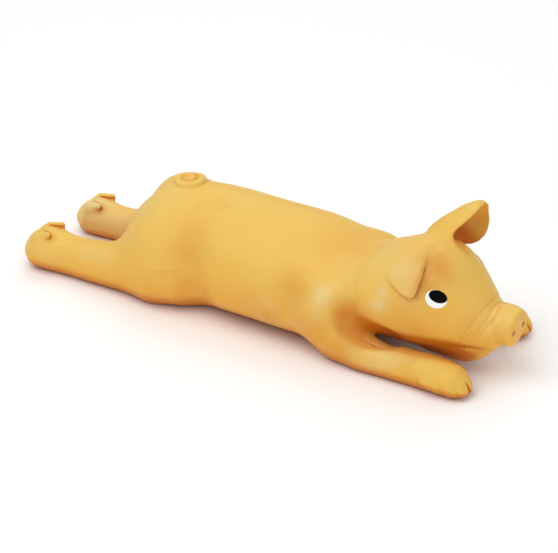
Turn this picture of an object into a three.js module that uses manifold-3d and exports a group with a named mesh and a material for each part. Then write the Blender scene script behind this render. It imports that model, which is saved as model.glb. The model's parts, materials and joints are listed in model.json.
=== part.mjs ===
// Latex pig for a dog, lying on its belly with all four legs stretched out.
// Millimetres. +X runs to the snout, +Y to the pig's left, +Z up, the floor is z = 0.
import * as THREE from 'three';
import { mergeVertices } from 'three/addons/utils/BufferGeometryUtils.js';
import Module from 'manifold-3d';

const wasm = await Module();
wasm.setup();

// Latex skin
const WALL = 2.2;
const GAP = 0.3;
const FLEX_GAP = 0.45;
const SIDES = 24;

// Body, from the rump to the shoulders
const BODY_REAR = -71;
const BODY_FRONT = 62;
const BODY_HALF_WIDTH = 30.3;
const BODY_HEIGHT = 46.8;
const REST_DEPTH = 0.5;

// Head, from the nape to the flat of the snout
const HEAD_REAR = 44;
const SNOUT_TIP = 114;
const HEAD_HALF_WIDTH = 24.3;
const HEAD_HEIGHT = 58.5;
const NECK = { x: 53, z: 26.5, radius: 15.5, halfWidth: 22.5, rim: 6 };
const NOD = [0, 6, 12, 18];
const NECK_OPENING = 12;
const SNOUT = { z: 24.9, radius: 8.2, depth: 5, rim: 1.4 };
const NOSTRIL = { y: 4.6, rise: 0.5, radius: 1.5, depth: 2.2 };
const JAW = { rear: 67, front: 101.5, halfWidth: 11.5, top: 22, bottom: 4.5 };

// Legs: half thickness at the flexure, and how far each runs
const HIND = {
  left: { root: -41, flex: -75.5, tip: -111.5, y: 16.5, splay: 0, half: 8.8 },
  right: { root: -41, flex: -75.5, tip: -113.5, y: -19.5, splay: 0, half: 10 },
};
const FORE = {
  left: { root: 33, flex: 60, tip: 105, y: 25, splay: 8, half: 8.3 },
  right: { root: 33, flex: 60, tip: 104.5, y: -22, splay: 0, half: 8.3 },
};
const SHOULDER = { x: 40, y: 20.5, z: 19, length: 12, width: 10.5, height: 16 };
const HAUNCH = { x: -41, y: 14.8, z: 16.8, length: 19, width: 15.5, height: 17 };
const LEG_ROUND = 8;
const KNEE_SLACK = 1.3;
const FORE_SWING = [0, 12, 25];
const CLEFT = { width: 2.2, depth: 6 };
// Dewclaws: how far behind the toe, how far out, and their share of the leg's height
const DEWCLAW = { radius: 2.6, length: 3.9 };
const HIND_CLAW = { back: 11.5, spread: 5.2, rise: 0.92 };
const FORE_CLAW = { back: 15.5, spread: 6.3, rise: 0.42 };

// Ears: the right one lies folded down, the left one stands out
// Each bends over its length like a gutter. Rows: how far along, how far the rear and the
// front edge reach, height of the ridge and thickness
const EAR = { root: 3.1, hinge: 5, rings: 11, across: 6 };
const EAR_POSE = {
  left: {
    root: [75.5, 16, 45.5],
    tip: [85, 28.6, 59.2],
    front: [-0.02, 0.73, -0.68],
    swing: [-12, 0, 15],
    bend: 0.068,
    rows: [
      [0.00, 12.0, 8.6, 9.2, 5.0],
      [0.20, 11.6, 11.0, 9.0, 4.0],
      [0.42, 11.3, 10.8, 8.0, 3.2],
      [0.66, 10.4, 9.2, 6.6, 3.0],
      [0.84, 8.2, 6.2, 4.8, 2.8],
      [0.94, 5.6, 4.0, 3.4, 2.6],
      [1.00, 2.4, 1.6, 2.4, 2.4],
    ],
  },
  right: {
    root: [69, -9, 49.3],
    tip: [77, -26.5, 41.8],
    front: [0.81, 0.13, 0.57],
    swing: [0],
    bend: 0.046,
    rows: [
      [0.00, 6.0, 6.0, 0.4, 4.0],
      [0.20, 7.6, 7.6, 1.8, 3.4],
      [0.42, 8.6, 8.6, 3.4, 3.0],
      [0.66, 8.2, 8.2, 4.0, 2.7],
      [0.84, 6.4, 6.4, 3.4, 2.5],
      [0.94, 4.2, 4.2, 2.6, 2.4],
      [1.00, 1.6, 1.6, 2.0, 2.2],
    ],
  },
};

// Tail, a coil lying on the rump
const TAIL = {
  x: -47, y: 2.5, radius: 4.9, lead: 7.5, thick: 2.8, turns: 1.6, raise: 0.45, dive: 1.2,
};

// Painted eyes
const EYE = { x: 86, z: 39.4, halfLength: 4.1, halfHeight: 3.3, tilt: 0.45, coat: 0.35 };
const PUPIL = { halfLength: 3.6, halfHeight: 2.3, rise: 0.8 };

// Reed squeaker held in the belly
const SQUEAKER = { x: -17, radius: 7.4, height: 17, wall: 1, flange: 9.6, plate: 1 };
const SEAT = { radius: 13, height: 5.5, recess: 1.6, draft: 1.5 };
const CAP = { vent: 1.6, skirt: 2.5 };
const BLOCK = { lift: 2.6, below: 0.8, channel: 1.6, rim: 0.8 };
const REED = { thick: 0.35, width: 4.6, length: 8, root: 3, below: 0.4 };
const SOUND_HOLES = { count: 5, radius: 0.9, circle: 3.4 };

const latex = { color: 0xe6b050, roughness: 0.55, metalness: 0 };
const whitePaint = { color: 0xf4f2ea, roughness: 0.35, metalness: 0 };
const blackPaint = { color: 0x0c0b0b, roughness: 0.3, metalness: 0 };
const fibre = { color: 0xf1efe8, roughness: 0.95, metalness: 0 };
const milkyPlastic = { color: 0xe9eae6, roughness: 0.4, metalness: 0 };
const reedFilm = { color: 0xd6dbe0, roughness: 0.25, metalness: 0 };

// Turns a three.js geometry into a solid that can be cut
function solid(geometry) {
  const bare = geometry.clone();
  bare.deleteAttribute('normal');
  bare.deleteAttribute('uv');
  const welded = mergeVertices(bare, 1e-4);
  const vertProperties = new Float32Array(welded.attributes.position.array);
  const triVerts = new Uint32Array(welded.index.array);
  return new wasm.Manifold(new wasm.Mesh({ numProp: 3, vertProperties, triVerts }));
}

// The largest body of a solid, without slivers that a cut may leave
function mainBody(shape) {
  const bodies = shape.decompose();
  return bodies.reduce((best, body) => (body.volume() > best.volume() ? body : best));
}

// Skins a row of rings of equal count, with a fan over each end
function loft(rings) {
  const count = rings[0].length;
  const points = rings.flat();
  const faces = [];
  for (let i = 0; i + 1 < rings.length; i += 1) {
    for (let j = 0; j < count; j += 1) {
      const a = i * count + j;
      const b = i * count + ((j + 1) % count);
      faces.push(a, b, b + count, a, b + count, a + count);
    }
  }
  const middle = (ring) => ring.reduce((sum, p) => sum.add(p), new THREE.Vector3())
    .divideScalar(count);
  const first = points.push(middle(rings[0])) - 1;
  const last = points.push(middle(rings[rings.length - 1])) - 1;
  const end = (rings.length - 1) * count;
  for (let j = 0; j < count; j += 1) {
    const k = (j + 1) % count;
    faces.push(first, k, j, last, end + j, end + k);
  }
  const geometry = new THREE.BufferGeometry().setFromPoints(points);
  geometry.setIndex(faces);
  const shape = solid(geometry);
  if (shape.volume() > 0) return shape;
  geometry.setIndex(faces.reverse());
  return solid(geometry);
}

// Smooth columns of numbers along a row of stations
function profile(rows) {
  const at = new THREE.CubicInterpolant(
    rows.map((row) => row[0]),
    rows.flatMap((row) => row.slice(1)),
    rows[0].length - 1,
  );
  return (t) => Array.from(at.evaluate(t));
}

// One oval ring across X; the lower half has its own fullness
function oval(x, y, half, top, bottom, fullness, sides) {
  const middle = (top + bottom) / 2;
  const rise = (top - bottom) / 2;
  return Array.from({ length: sides }, (_, i) => {
    const turn = (2 * Math.PI * i) / sides;
    const c = Math.cos(turn);
    const s = Math.sin(turn);
    const power = 2 / (s < 0 ? fullness : 2);
    return new THREE.Vector3(
      x,
      y + half * Math.sign(c) * Math.abs(c) ** power,
      middle + rise * Math.sign(s) * Math.abs(s) ** power,
    );
  });
}

// Where a soft form is cut across at x, made smaller all round by the inset
function sectionOf(form, x, inset) {
  const { rear, front, size } = form;
  const rearLeft = Math.max(0, 1 - (x - rear - inset) / form.rearRound);
  const frontLeft = Math.max(0, 1 - (front - inset - x) / form.frontRound);
  const round = Math.sqrt(1 - rearLeft ** 2) * Math.sqrt(1 - frontLeft ** 2);
  const [y, half, top, bottom] = profile(form.rows)((x - rear) / (front - rear));
  return {
    y: y * size.half,
    half: (half * size.half - inset) * round,
    middle: ((top + bottom) * size.height) / 2,
    rise: (((top - bottom) * size.height) / 2 - inset) * round,
  };
}

// A soft form along X with rounded ends
function softForm(form, inset = 0, rings = 18, sides = SIDES) {
  const x0 = form.rear + inset;
  const x1 = form.front - inset;
  return loft(Array.from({ length: rings }, (_, i) => {
    const x = x0 + ((x1 - x0) * (1 - Math.cos((Math.PI * (i + 0.35)) / (rings - 0.3)))) / 2;
    const { y, half, middle, rise } = sectionOf(form, x, inset);
    return oval(x, y, half, middle + rise, middle - rise, form.fullness, sides);
  }));
}

// The height of a soft form's upper face
function topOf(form, x, y) {
  const { half, middle, rise } = sectionOf(form, x, 0);
  return middle + rise * Math.sqrt(1 - (y / half) ** 2);
}

function ellipsoid(x, y, z, rx, ry, rz, inset = 0) {
  const around = Math.min(24, 2 * Math.round(4 + Math.max(rx, ry, rz) / 3));
  const ball = new THREE.SphereGeometry(1, around, around / 2);
  ball.rotateX(Math.PI / 2);
  ball.scale(rx - inset, ry - inset, rz - inset);
  ball.translate(x, y, z);
  return solid(ball);
}

// Everything ahead of a plane across X, or behind it
function slab(from, to) {
  const block = new THREE.BoxGeometry(to - from, 2 * far, 2 * far);
  block.translate((from + to) / 2, 0, 0);
  return solid(block);
}

// A solid turned by some degrees about an axis through a pivot
function swung(shape, pivot, axis, degrees) {
  const turn = new THREE.Matrix4().makeRotationAxis(axis, THREE.MathUtils.degToRad(degrees));
  const there = new THREE.Matrix4().makeTranslation(...pivot);
  const back = new THREE.Matrix4().copy(there).invert();
  return shape.transform(there.multiply(turn).multiply(back).elements);
}

// Cuts from a flexing piece the room that another piece takes up at each of its angles
function clearOf(piece, other, pivot, axis, angles) {
  return angles.reduce(
    (left, angle) => left.subtract(swung(other, pivot, axis, -angle)), piece,
  );
}

function turned(outline) {
  const lathe = new THREE.LatheGeometry(outline.map((p) => new THREE.Vector2(...p)), 32);
  lathe.rotateX(Math.PI / 2);
  return solid(lathe);
}

const far = 200;
const floorBlock = new THREE.BoxGeometry(2 * far, 2 * far, far);
floorBlock.translate(0, 0, -far / 2);
const floor = solid(floorBlock);

// Rows: how far along, sideways shift, half width, top and bottom
const bodyForm = {
  rear: BODY_REAR,
  front: BODY_FRONT,
  rearRound: 24,
  frontRound: 18,
  fullness: 2.15,
  size: { half: BODY_HALF_WIDTH, height: BODY_HEIGHT },
  rows: [
    [0.00, 0, 0.743, 0.79, 0.06],
    [0.122, 0, 0.91, 0.927, -REST_DEPTH / BODY_HEIGHT],
    [0.27, 0, 0.97, 0.99, -REST_DEPTH / BODY_HEIGHT],
    [0.50, 0, 0.983, 1.00, -REST_DEPTH / BODY_HEIGHT],
    [0.70, 0, 1.00, 0.987, -REST_DEPTH / BODY_HEIGHT],
    [0.805, 0, 0.957, 0.936, 0],
    [0.895, 0, 0.858, 0.872, 0.064],
    [1.00, 0, 0.726, 0.833, 0.15],
  ],
};

const headForm = {
  rear: HEAD_REAR,
  front: SNOUT_TIP - SNOUT.depth,
  rearRound: 10,
  frontRound: 1,
  fullness: 1.7,
  size: { half: HEAD_HALF_WIDTH, height: HEAD_HEIGHT },
  rows: [
    [0.00, 0, 0.926, 0.71, 0.162],
    [0.18, 0, 0.98, 0.793, 0.154],
    [0.41, 0, 1.00, 0.899, 0.145],
    [0.57, 0, 0.938, 0.896, 0.137],
    [0.71, 0, 0.786, 0.798, 0.137],
    [0.82, 0, 0.605, 0.667, 0.161],
    [0.91, 0, 0.457, 0.55, 0.205],
    [1.00, 0, 0.362, 0.537, 0.256],
  ],
};

const jawForm = {
  rear: JAW.rear,
  front: JAW.front,
  rearRound: 14,
  frontRound: 10,
  fullness: 2,
  size: { half: JAW.halfWidth, height: JAW.top },
  rows: [
    [0, 0, 1, 1, 0.35],
    [0.6, 0, 1, 1, JAW.bottom / JAW.top],
    [1, 0, 0.85, 0.9, JAW.bottom / JAW.top],
  ],
};

// A leg from root to tip; widths and heights are in half thicknesses of the flexure
function legForm(leg, rows) {
  const side = Math.sign(leg.y);
  const bend = (leg.flex - leg.root) / (leg.tip - leg.root);
  const stations = rows.map(([t, lean, half, top]) => {
    const spread = (leg.splay * (t - bend)) / (1 - bend);
    const y = leg.y + side * (lean + spread);
    return [leg.tip > leg.root ? t : 1 - t, y / leg.half, half, top, -REST_DEPTH / leg.half];
  });
  return {
    rear: Math.min(leg.root, leg.tip),
    front: Math.max(leg.root, leg.tip),
    rearRound: LEG_ROUND,
    frontRound: LEG_ROUND,
    fullness: 2,
    size: { half: leg.half, height: leg.half },
    rows: stations.sort((a, b) => a[0] - b[0]),
  };
}

const hindRows = [
  [0.00, -3, 1.30, 2.50],
  [0.25, -1, 1.05, 2.20],
  [0.50, 0, 0.93, 1.88],
  [0.70, 0, 0.88, 1.72],
  [0.86, 0, 1.00, 1.82],
  [1.00, 0, 0.90, 1.50],
];
const foreRows = [
  [0.00, -8, 1.24, 3.0],
  [0.14, -3, 1.16, 2.48],
  [0.29, 0, 1.02, 2.06],
  [0.375, 0, 0.97, 1.94],
  [0.60, 0, 0.90, 1.76],
  [0.80, 0, 0.93, 1.70],
  [0.92, 0, 0.98, 1.42],
  [1.00, 0, 0.86, 0.90],
];

// Splits a leg at its flexure: the stub stays on the body, the rest turns on a ball
function leg(size, rows, claw) {
  const towards = Math.sign(size.tip - size.root);
  const form = legForm(size, rows);
  const whole = softForm(form, 0, 15, 16);
  const beyond = towards > 0 ? slab(size.flex, far) : slab(-far, size.flex);
  const knuckle = (extra, taller) => ellipsoid(
    size.flex, size.y, size.half, size.half + extra, size.half + extra, size.half + taller,
  );
  const notch = new THREE.Shape([
    new THREE.Vector2(towards * CLEFT.depth, -CLEFT.width),
    new THREE.Vector2(towards * CLEFT.depth, CLEFT.width),
    new THREE.Vector2(-towards * CLEFT.depth, 0),
  ]);
  const cleft = new THREE.ExtrudeGeometry(notch, { depth: 4 * size.half, bevelEnabled: false });
  cleft.translate(size.tip, size.y + Math.sign(size.y) * size.splay, -size.half);
  const clawX = size.tip - towards * claw.back;
  const ankle = sectionOf(form, clawX, 0);
  const clawZ = ankle.middle + ankle.rise * (2 * claw.rise - 1);
  const claws = [-1, 1].map((way) => ellipsoid(
    clawX, ankle.y + way * claw.spread, clawZ, DEWCLAW.length, DEWCLAW.radius, DEWCLAW.radius,
  ));
  const shank = whole.intersect(beyond).subtract(solid(cleft)).add(claws[0]).add(claws[1]);
  return {
    stub: whole.subtract(beyond),
    socket: knuckle(FLEX_GAP, FLEX_GAP + KNEE_SLACK),
    limb: shank.add(knuckle(0, 0)).subtract(floor),
  };
}

const sides = { left: 1, right: -1 };
const hindLegs = {};
const foreLegs = {};
for (const name of Object.keys(sides)) {
  hindLegs[name] = leg(HIND[name], hindRows, HIND_CLAW);
  foreLegs[name] = leg(FORE[name], foreRows, FORE_CLAW);
}

// The body with its haunches and shoulders, or its plain room inside the wall
function body(inset) {
  if (inset > 0) return softForm(bodyForm, inset, 14, 16);
  let shape = softForm(bodyForm, inset, 20);
  for (const side of Object.values(sides)) {
    for (const bulge of [HAUNCH, SHOULDER]) {
      shape = shape.add(ellipsoid(
        bulge.x, side * bulge.y, bulge.z, bulge.length, bulge.width, bulge.height,
      ));
    }
  }
  return shape;
}

function head(inset) {
  if (inset > 0) return softForm(headForm, inset, 12, 16);
  return softForm(headForm, inset, 22).add(softForm(jawForm, inset, 8, 16));
}

function neckBall(extra) {
  return ellipsoid(
    NECK.x, 0, NECK.z, NECK.radius + extra, NECK.halfWidth + extra, NECK.radius + extra,
  );
}

// Squeaker, turned about its own upright axis at the origin
const { radius: cupRadius, wall: cupWall, plate: cupPlate, height: cupTop } = SQUEAKER;
const cupFoot = SEAT.recess - cupPlate - GAP;
const beadFoot = SEAT.height + GAP;
let cup = turned([
  [0, cupFoot],
  [SQUEAKER.flange, cupFoot],
  [SQUEAKER.flange, cupFoot + cupPlate],
  [cupRadius, cupFoot + cupPlate],
  [cupRadius, beadFoot],
  [cupRadius + cupWall, beadFoot + cupWall / 2],
  [cupRadius, beadFoot + cupWall],
  [cupRadius, cupTop],
  [cupRadius - cupWall, cupTop],
  [cupRadius - cupWall, cupFoot + cupPlate],
  [0, cupFoot + cupPlate],
]);
for (let i = 0; i < SOUND_HOLES.count; i += 1) {
  const turn = (2 * Math.PI * i) / SOUND_HOLES.count;
  const hole = new THREE.CylinderGeometry(SOUND_HOLES.radius, SOUND_HOLES.radius, 8, 12);
  hole.rotateX(Math.PI / 2);
  hole.translate(SOUND_HOLES.circle * Math.cos(turn), SOUND_HOLES.circle * Math.sin(turn), 0);
  cup = cup.subtract(solid(hole));
}

const capFoot = cupTop + GAP;
const cap = turned([
  [CAP.vent, capFoot],
  [cupRadius + GAP, capFoot],
  [cupRadius + GAP, cupTop - CAP.skirt],
  [cupRadius + GAP + cupWall, cupTop - CAP.skirt],
  [cupRadius + GAP + cupWall, capFoot + cupPlate],
  [CAP.vent, capFoot + cupPlate],
  [CAP.vent, capFoot],
]);

// Reed block: a plug with a flat face and an air channel; the reed lies on the face
const blockFoot = cupFoot + cupPlate + BLOCK.lift;
const blockTop = cupTop - BLOCK.below;
const blockRadius = cupRadius - cupWall - GAP;
const plugGeometry = new THREE.CylinderGeometry(blockRadius, blockRadius, blockTop - blockFoot, 28);
plugGeometry.rotateX(Math.PI / 2);
plugGeometry.translate(0, 0, (blockTop + blockFoot) / 2);
const plug = solid(plugGeometry);
const faceCut = new THREE.BoxGeometry(2 * cupRadius, 2 * cupRadius, 2 * cupTop);
faceCut.translate(cupRadius, 0, cupTop);
const channelWidth = REED.width - 2 * BLOCK.rim;
const channel = new THREE.BoxGeometry(2 * BLOCK.channel, channelWidth, 2 * REED.length);
channel.translate(0, 0, blockFoot);
const reedBlock = plug.subtract(solid(faceCut)).subtract(solid(channel));

const reedTop = blockTop - REED.below;
const reedFoot = blockTop - REED.root - REED.length;
const reedShape = new THREE.BoxGeometry(REED.thick, REED.width, reedTop - reedFoot);
reedShape.translate(GAP + REED.thick / 2, 0, (reedTop + reedFoot) / 2);

// The wedge fills the other half of the bore over the reed's root
const wedgeCut = new THREE.BoxGeometry(2 * cupRadius, 4 * cupRadius, 4 * cupTop);
wedgeCut.translate(2 * GAP + REED.thick - cupRadius, 0, cupTop);
const wedgeLow = new THREE.BoxGeometry(4 * cupRadius, 4 * cupRadius, 2 * cupTop);
wedgeLow.translate(0, 0, blockTop - REED.root - cupTop);
const wedge = plug.subtract(solid(wedgeCut)).subtract(solid(wedgeLow));

// Puts a squeaker piece where it sits in the belly
const inBelly = (shape) => shape.translate(SQUEAKER.x, 0, 0);

const seat = inBelly(turned([
  [0, 0], [SEAT.radius, 0], [SEAT.radius - SEAT.draft, SEAT.height], [0, SEAT.height],
]));
const bore = inBelly(turned([
  [0, -1],
  [SQUEAKER.flange + GAP, -1],
  [SQUEAKER.flange + GAP, SEAT.recess],
  [cupRadius + GAP, SEAT.recess],
  [cupRadius + GAP, SEAT.height + 1],
  [0, SEAT.height + 1],
]));
const squeakerRoom = inBelly(turned([
  [0, 0],
  [SEAT.radius + GAP, 0],
  [SEAT.radius + GAP, SEAT.height + GAP],
  [cupRadius + cupWall + 2 * GAP, SEAT.height + GAP],
  [cupRadius + cupWall + 2 * GAP, capFoot + cupPlate + GAP],
  [0, capFoot + cupPlate + GAP],
]));

// Body skin: shell, leg stubs and squeaker seat, less the sockets and the head's room
const nodPivot = [NECK.x, 0, NECK.z];
const nodAxis = new THREE.Vector3(0, -1, 0);
const headRoom = softForm(headForm, -GAP);
const ahead = slab(NECK.x - NECK.rim, far);
let bodySkin = body(0).subtract(ahead);
let bodyFill = body(WALL + GAP).subtract(slab(NECK.x - NECK.rim - WALL, far));
for (const name of Object.keys(sides)) {
  const elbowStub = clearOf(foreLegs[name].stub, headRoom, nodPivot, nodAxis, NOD.map((a) => -a));
  bodySkin = bodySkin.add(hindLegs[name].stub).add(elbowStub);
}
bodySkin = bodySkin.subtract(body(WALL)).add(seat).subtract(bore).subtract(floor);
bodySkin = bodySkin.subtract(neckBall(FLEX_GAP));
bodyFill = bodyFill.subtract(neckBall(FLEX_GAP)).subtract(squeakerRoom);
for (const name of Object.keys(sides)) {
  for (const socket of [hindLegs[name].socket, foreLegs[name].socket]) {
    bodySkin = bodySkin.subtract(socket);
    bodyFill = bodyFill.subtract(socket);
  }
}

function earFrame(pose) {
  const root = new THREE.Vector3(...pose.root);
  const along = new THREE.Vector3(...pose.tip).sub(root);
  const length = along.length();
  along.normalize();
  const front = new THREE.Vector3(...pose.front);
  front.addScaledVector(along, -front.dot(along)).normalize();
  return { root, along, front, length };
}

// Ear: a cupped flap from a rounded root to a soft tip
function ear(pose) {
  const { root, along, front, length } = earFrame(pose);
  const back = new THREE.Vector3().crossVectors(along, front);
  const sizeAt = profile(pose.rows);
  const last = EAR.rings - 1;
  const rings = Array.from({ length: EAR.rings }, (_, i) => {
    const t = Math.sin((Math.PI * i) / (2 * last));
    const [rear, ahead, ridge, thick] = sizeAt(t);
    const across = (way) => Array.from({ length: EAR.across + 1 }, (_, j) => {
      const c = way * (1 - (2 * j) / EAR.across);
      const bulge = Math.sqrt(1.06 - c * c);
      const out = c * (c < 0 ? rear : ahead);
      const lie = ridge - pose.bend * out * out + way * 0.5 * thick * bulge;
      return root.clone().addScaledVector(along, t * length)
        .addScaledVector(front, out)
        .addScaledVector(back, lie);
    });
    return [...across(1), ...across(-1)];
  });
  return loft(rings);
}

// The bead an ear turns on, lying in the head's skin
function earRoot(pose, extra) {
  const { root, along, front } = earFrame(pose);
  const spindle = new THREE.SphereGeometry(1, 12, 8);
  spindle.scale(EAR.root + extra, EAR.hinge + extra, EAR.root + extra);
  const across = new THREE.Vector3().crossVectors(front, along);
  spindle.applyMatrix4(new THREE.Matrix4().makeBasis(along, front, across.negate()));
  spindle.translate(root.x, root.y, root.z);
  return solid(spindle);
}

// Snout: a flat turned disc with two nostrils, facing forward
const snoutDisc = new THREE.LatheGeometry([
  [0, -SNOUT.depth - 4],
  [SNOUT.radius - SNOUT.rim, -SNOUT.depth - 4],
  [SNOUT.radius - SNOUT.rim, -SNOUT.depth],
  [SNOUT.radius, -SNOUT.depth / 2],
  [SNOUT.radius, -SNOUT.rim],
  [SNOUT.radius - SNOUT.rim, 0],
  [0, 0],
].map((p) => new THREE.Vector2(...p)), 28);
snoutDisc.rotateZ(-Math.PI / 2);
snoutDisc.translate(SNOUT_TIP, 0, SNOUT.z);

// The head keeps clear of the body's rim from rest to the end of its nod
const rimForm = softForm(bodyForm, -GAP).subtract(slab(NECK.x - NECK.rim + GAP, far));
let headSkin = clearOf(head(0), rimForm, nodPivot, nodAxis, NOD);
headSkin = mainBody(headSkin).add(neckBall(0)).add(solid(snoutDisc));
headSkin = headSkin.subtract(head(WALL)).subtract(neckBall(-WALL));
const neckHole = new THREE.CylinderGeometry(NECK_OPENING, NECK_OPENING, 2 * NECK.radius, 24);
neckHole.rotateZ(Math.PI / 2);
neckHole.translate(NECK.x - NECK.radius, 0, NECK.z);
headSkin = headSkin.subtract(solid(neckHole));
for (const [name, side] of Object.entries(sides)) {
  headSkin = headSkin.subtract(earRoot(EAR_POSE[name], FLEX_GAP));
  headSkin = headSkin.subtract(ellipsoid(
    SNOUT_TIP, side * NOSTRIL.y, SNOUT.z + NOSTRIL.rise,
    NOSTRIL.depth, NOSTRIL.radius, NOSTRIL.radius,
  ));
}
headSkin = mainBody(headSkin.subtract(floor));
let headFill = head(WALL + GAP).subtract(slab(-far, NECK.x));
for (const pose of Object.values(EAR_POSE)) {
  headFill = headFill.subtract(earRoot(pose, FLEX_GAP));
}

// Painted coats lie on the skin: a slice of the head, made larger, inside an oval
function paint(side, lift, halfLength, halfHeight, rise) {
  const oblong = new THREE.CylinderGeometry(1, 1, 2 * HEAD_HALF_WIDTH, 24);
  oblong.scale(halfLength, 1, halfHeight);
  oblong.rotateY(EYE.tilt);
  oblong.translate(EYE.x, side * HEAD_HALF_WIDTH, EYE.z + rise);
  const outer = softForm(headForm, -lift - EYE.coat, 24);
  const inner = softForm(headForm, -lift, 24);
  return mainBody(outer.subtract(inner).intersect(solid(oblong)));
}

// Tail: a tapering coil laid on the rump
const tailSteps = 40;
const tailSides = 8;
const tailStretches = 8;
const tailStart = (i) => Math.max(0, 1 - 5 * (i / tailSteps));
const tailPath = Array.from({ length: tailSteps + 1 }, (_, i) => {
  const t = i / tailSteps;
  const turn = Math.PI * (1 - 2 * TAIL.turns * t);
  const start = tailStart(i);
  const reach = TAIL.radius * (1.15 - 0.95 * t) + TAIL.lead * start ** 2;
  const x = TAIL.x + reach * Math.cos(turn);
  const y = TAIL.y * (1 - start) + reach * Math.sin(turn);
  const lift = TAIL.thick * (TAIL.raise - TAIL.dive * start);
  return new THREE.Vector3(x, y, topOf(bodyForm, x, y) + lift);
});
const tailRings = tailPath.map((p, i) => {
  const ahead = tailPath[Math.min(i + 1, tailSteps)].clone()
    .sub(tailPath[Math.max(i - 1, 0)]).normalize();
  const aside = new THREE.Vector3(-ahead.y, ahead.x, 0).normalize();
  const above = new THREE.Vector3().crossVectors(ahead, aside);
  const thick = TAIL.thick * (1 - 0.55 * tailStart(i)) * (1 - 0.5 * (i / tailSteps));
  return Array.from({ length: tailSides }, (_, j) => {
    const turn = (2 * Math.PI * j) / tailSides;
    return p.clone().addScaledVector(aside, thick * Math.cos(turn))
      .addScaledVector(above, thick * Math.sin(turn));
  });
});
// The turns touch, so the coil is joined from stretches that each run clear of themselves
const tailStretch = tailSteps / tailStretches;
let coil = loft(tailRings.slice(0, tailStretch + 1));
for (let i = tailStretch; i < tailSteps; i += tailStretch) {
  coil = coil.add(loft(tailRings.slice(i, i + tailStretch + 1)));
}
const tail = mainBody(coil.subtract(softForm(bodyForm, -GAP, 22)));

const pig = new THREE.Group();

function place(name, shape, finish) {
  const { vertProperties, triVerts, numProp } = shape.getMesh();
  const geometry = new THREE.BufferGeometry();
  const points = [];
  for (let i = 0; i < vertProperties.length; i += numProp) {
    points.push(vertProperties[i], vertProperties[i + 1], vertProperties[i + 2]);
  }
  geometry.setAttribute('position', new THREE.Float32BufferAttribute(points, 3));
  geometry.setIndex(Array.from(triVerts));
  geometry.computeVertexNormals();
  const mesh = new THREE.Mesh(geometry, new THREE.MeshStandardMaterial(finish));
  mesh.name = name;
  pig.add(mesh);
}

place('body_skin', mainBody(bodySkin), latex);
place('body_fill', mainBody(bodyFill), fibre);
place('head_skin', headSkin, latex);
place('head_fill', mainBody(headFill), fibre);
place('tail', tail, latex);
for (const [name, side] of Object.entries(sides)) {
  place(`hind_leg_${name}`, hindLegs[name].limb, latex);
  const elbow = [FORE[name].flex, FORE[name].y, FORE[name].half];
  const upright = new THREE.Vector3(0, 0, side);
  const foreLeg = clearOf(foreLegs[name].limb, headRoom, elbow, upright, FORE_SWING);
  place(`fore_leg_${name}`, mainBody(foreLeg), latex);
  const pose = EAR_POSE[name];
  const { root, front } = earFrame(pose);
  const flap = clearOf(ear(pose), headRoom, root.toArray(), front, pose.swing);
  place(`ear_${name}`, mainBody(flap.add(earRoot(pose, 0))), latex);
  place(`eye_white_${name}`, paint(side, GAP, EYE.halfLength, EYE.halfHeight, 0), whitePaint);
  place(`pupil_${name}`, paint(
    side, 2 * GAP + EYE.coat, PUPIL.halfLength, PUPIL.halfHeight, PUPIL.rise,
  ), blackPaint);
}
place('squeaker_cup', inBelly(cup), milkyPlastic);
place('squeaker_cap', inBelly(cap), milkyPlastic);
place('reed_block', inBelly(reedBlock), milkyPlastic);
place('reed_wedge', inBelly(wedge), milkyPlastic);
place('reed', inBelly(solid(reedShape)), reedFilm);

export default pig;
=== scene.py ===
"""The look of a latex pig that squeaks: one soft skin, split where it bends.

The skin is a field of distances: lofted body, head and legs that melt into each other.
Every piece of skin is meshed from that one field, so the pieces meet without a seam.
"""

import json
import math

import bmesh
import bpy
import numpy as np
from bpy.props import FloatProperty, FloatVectorProperty, PointerProperty
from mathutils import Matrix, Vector


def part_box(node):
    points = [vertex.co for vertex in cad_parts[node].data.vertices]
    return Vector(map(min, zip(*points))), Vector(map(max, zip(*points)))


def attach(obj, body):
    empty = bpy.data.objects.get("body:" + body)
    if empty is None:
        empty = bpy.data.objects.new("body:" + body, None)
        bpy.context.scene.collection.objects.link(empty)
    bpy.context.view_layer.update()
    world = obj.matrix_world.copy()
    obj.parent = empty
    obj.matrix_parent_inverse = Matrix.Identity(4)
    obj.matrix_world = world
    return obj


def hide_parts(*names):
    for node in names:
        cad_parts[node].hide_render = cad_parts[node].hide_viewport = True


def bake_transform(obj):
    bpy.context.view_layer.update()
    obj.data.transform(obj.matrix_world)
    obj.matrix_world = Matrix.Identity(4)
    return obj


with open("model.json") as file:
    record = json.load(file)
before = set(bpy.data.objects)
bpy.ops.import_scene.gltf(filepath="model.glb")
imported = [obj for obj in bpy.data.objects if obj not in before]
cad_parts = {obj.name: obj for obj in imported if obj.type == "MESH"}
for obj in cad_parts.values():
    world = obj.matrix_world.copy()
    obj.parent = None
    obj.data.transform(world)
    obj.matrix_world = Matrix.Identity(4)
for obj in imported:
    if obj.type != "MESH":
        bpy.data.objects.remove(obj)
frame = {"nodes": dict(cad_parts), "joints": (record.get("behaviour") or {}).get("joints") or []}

bl_info = {
    "name": "Latex pig",
    "version": (1, 0, 0),
    "blender": (4, 5, 0),
    "location": "3D View > Sidebar > Latex pig",
    "description": "Builds a squeaking latex pig around its packed solids",
    "category": "Object",
}

MM = 0.001
JOINTS = {joint["name"]: joint for joint in frame["joints"]}

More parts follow.
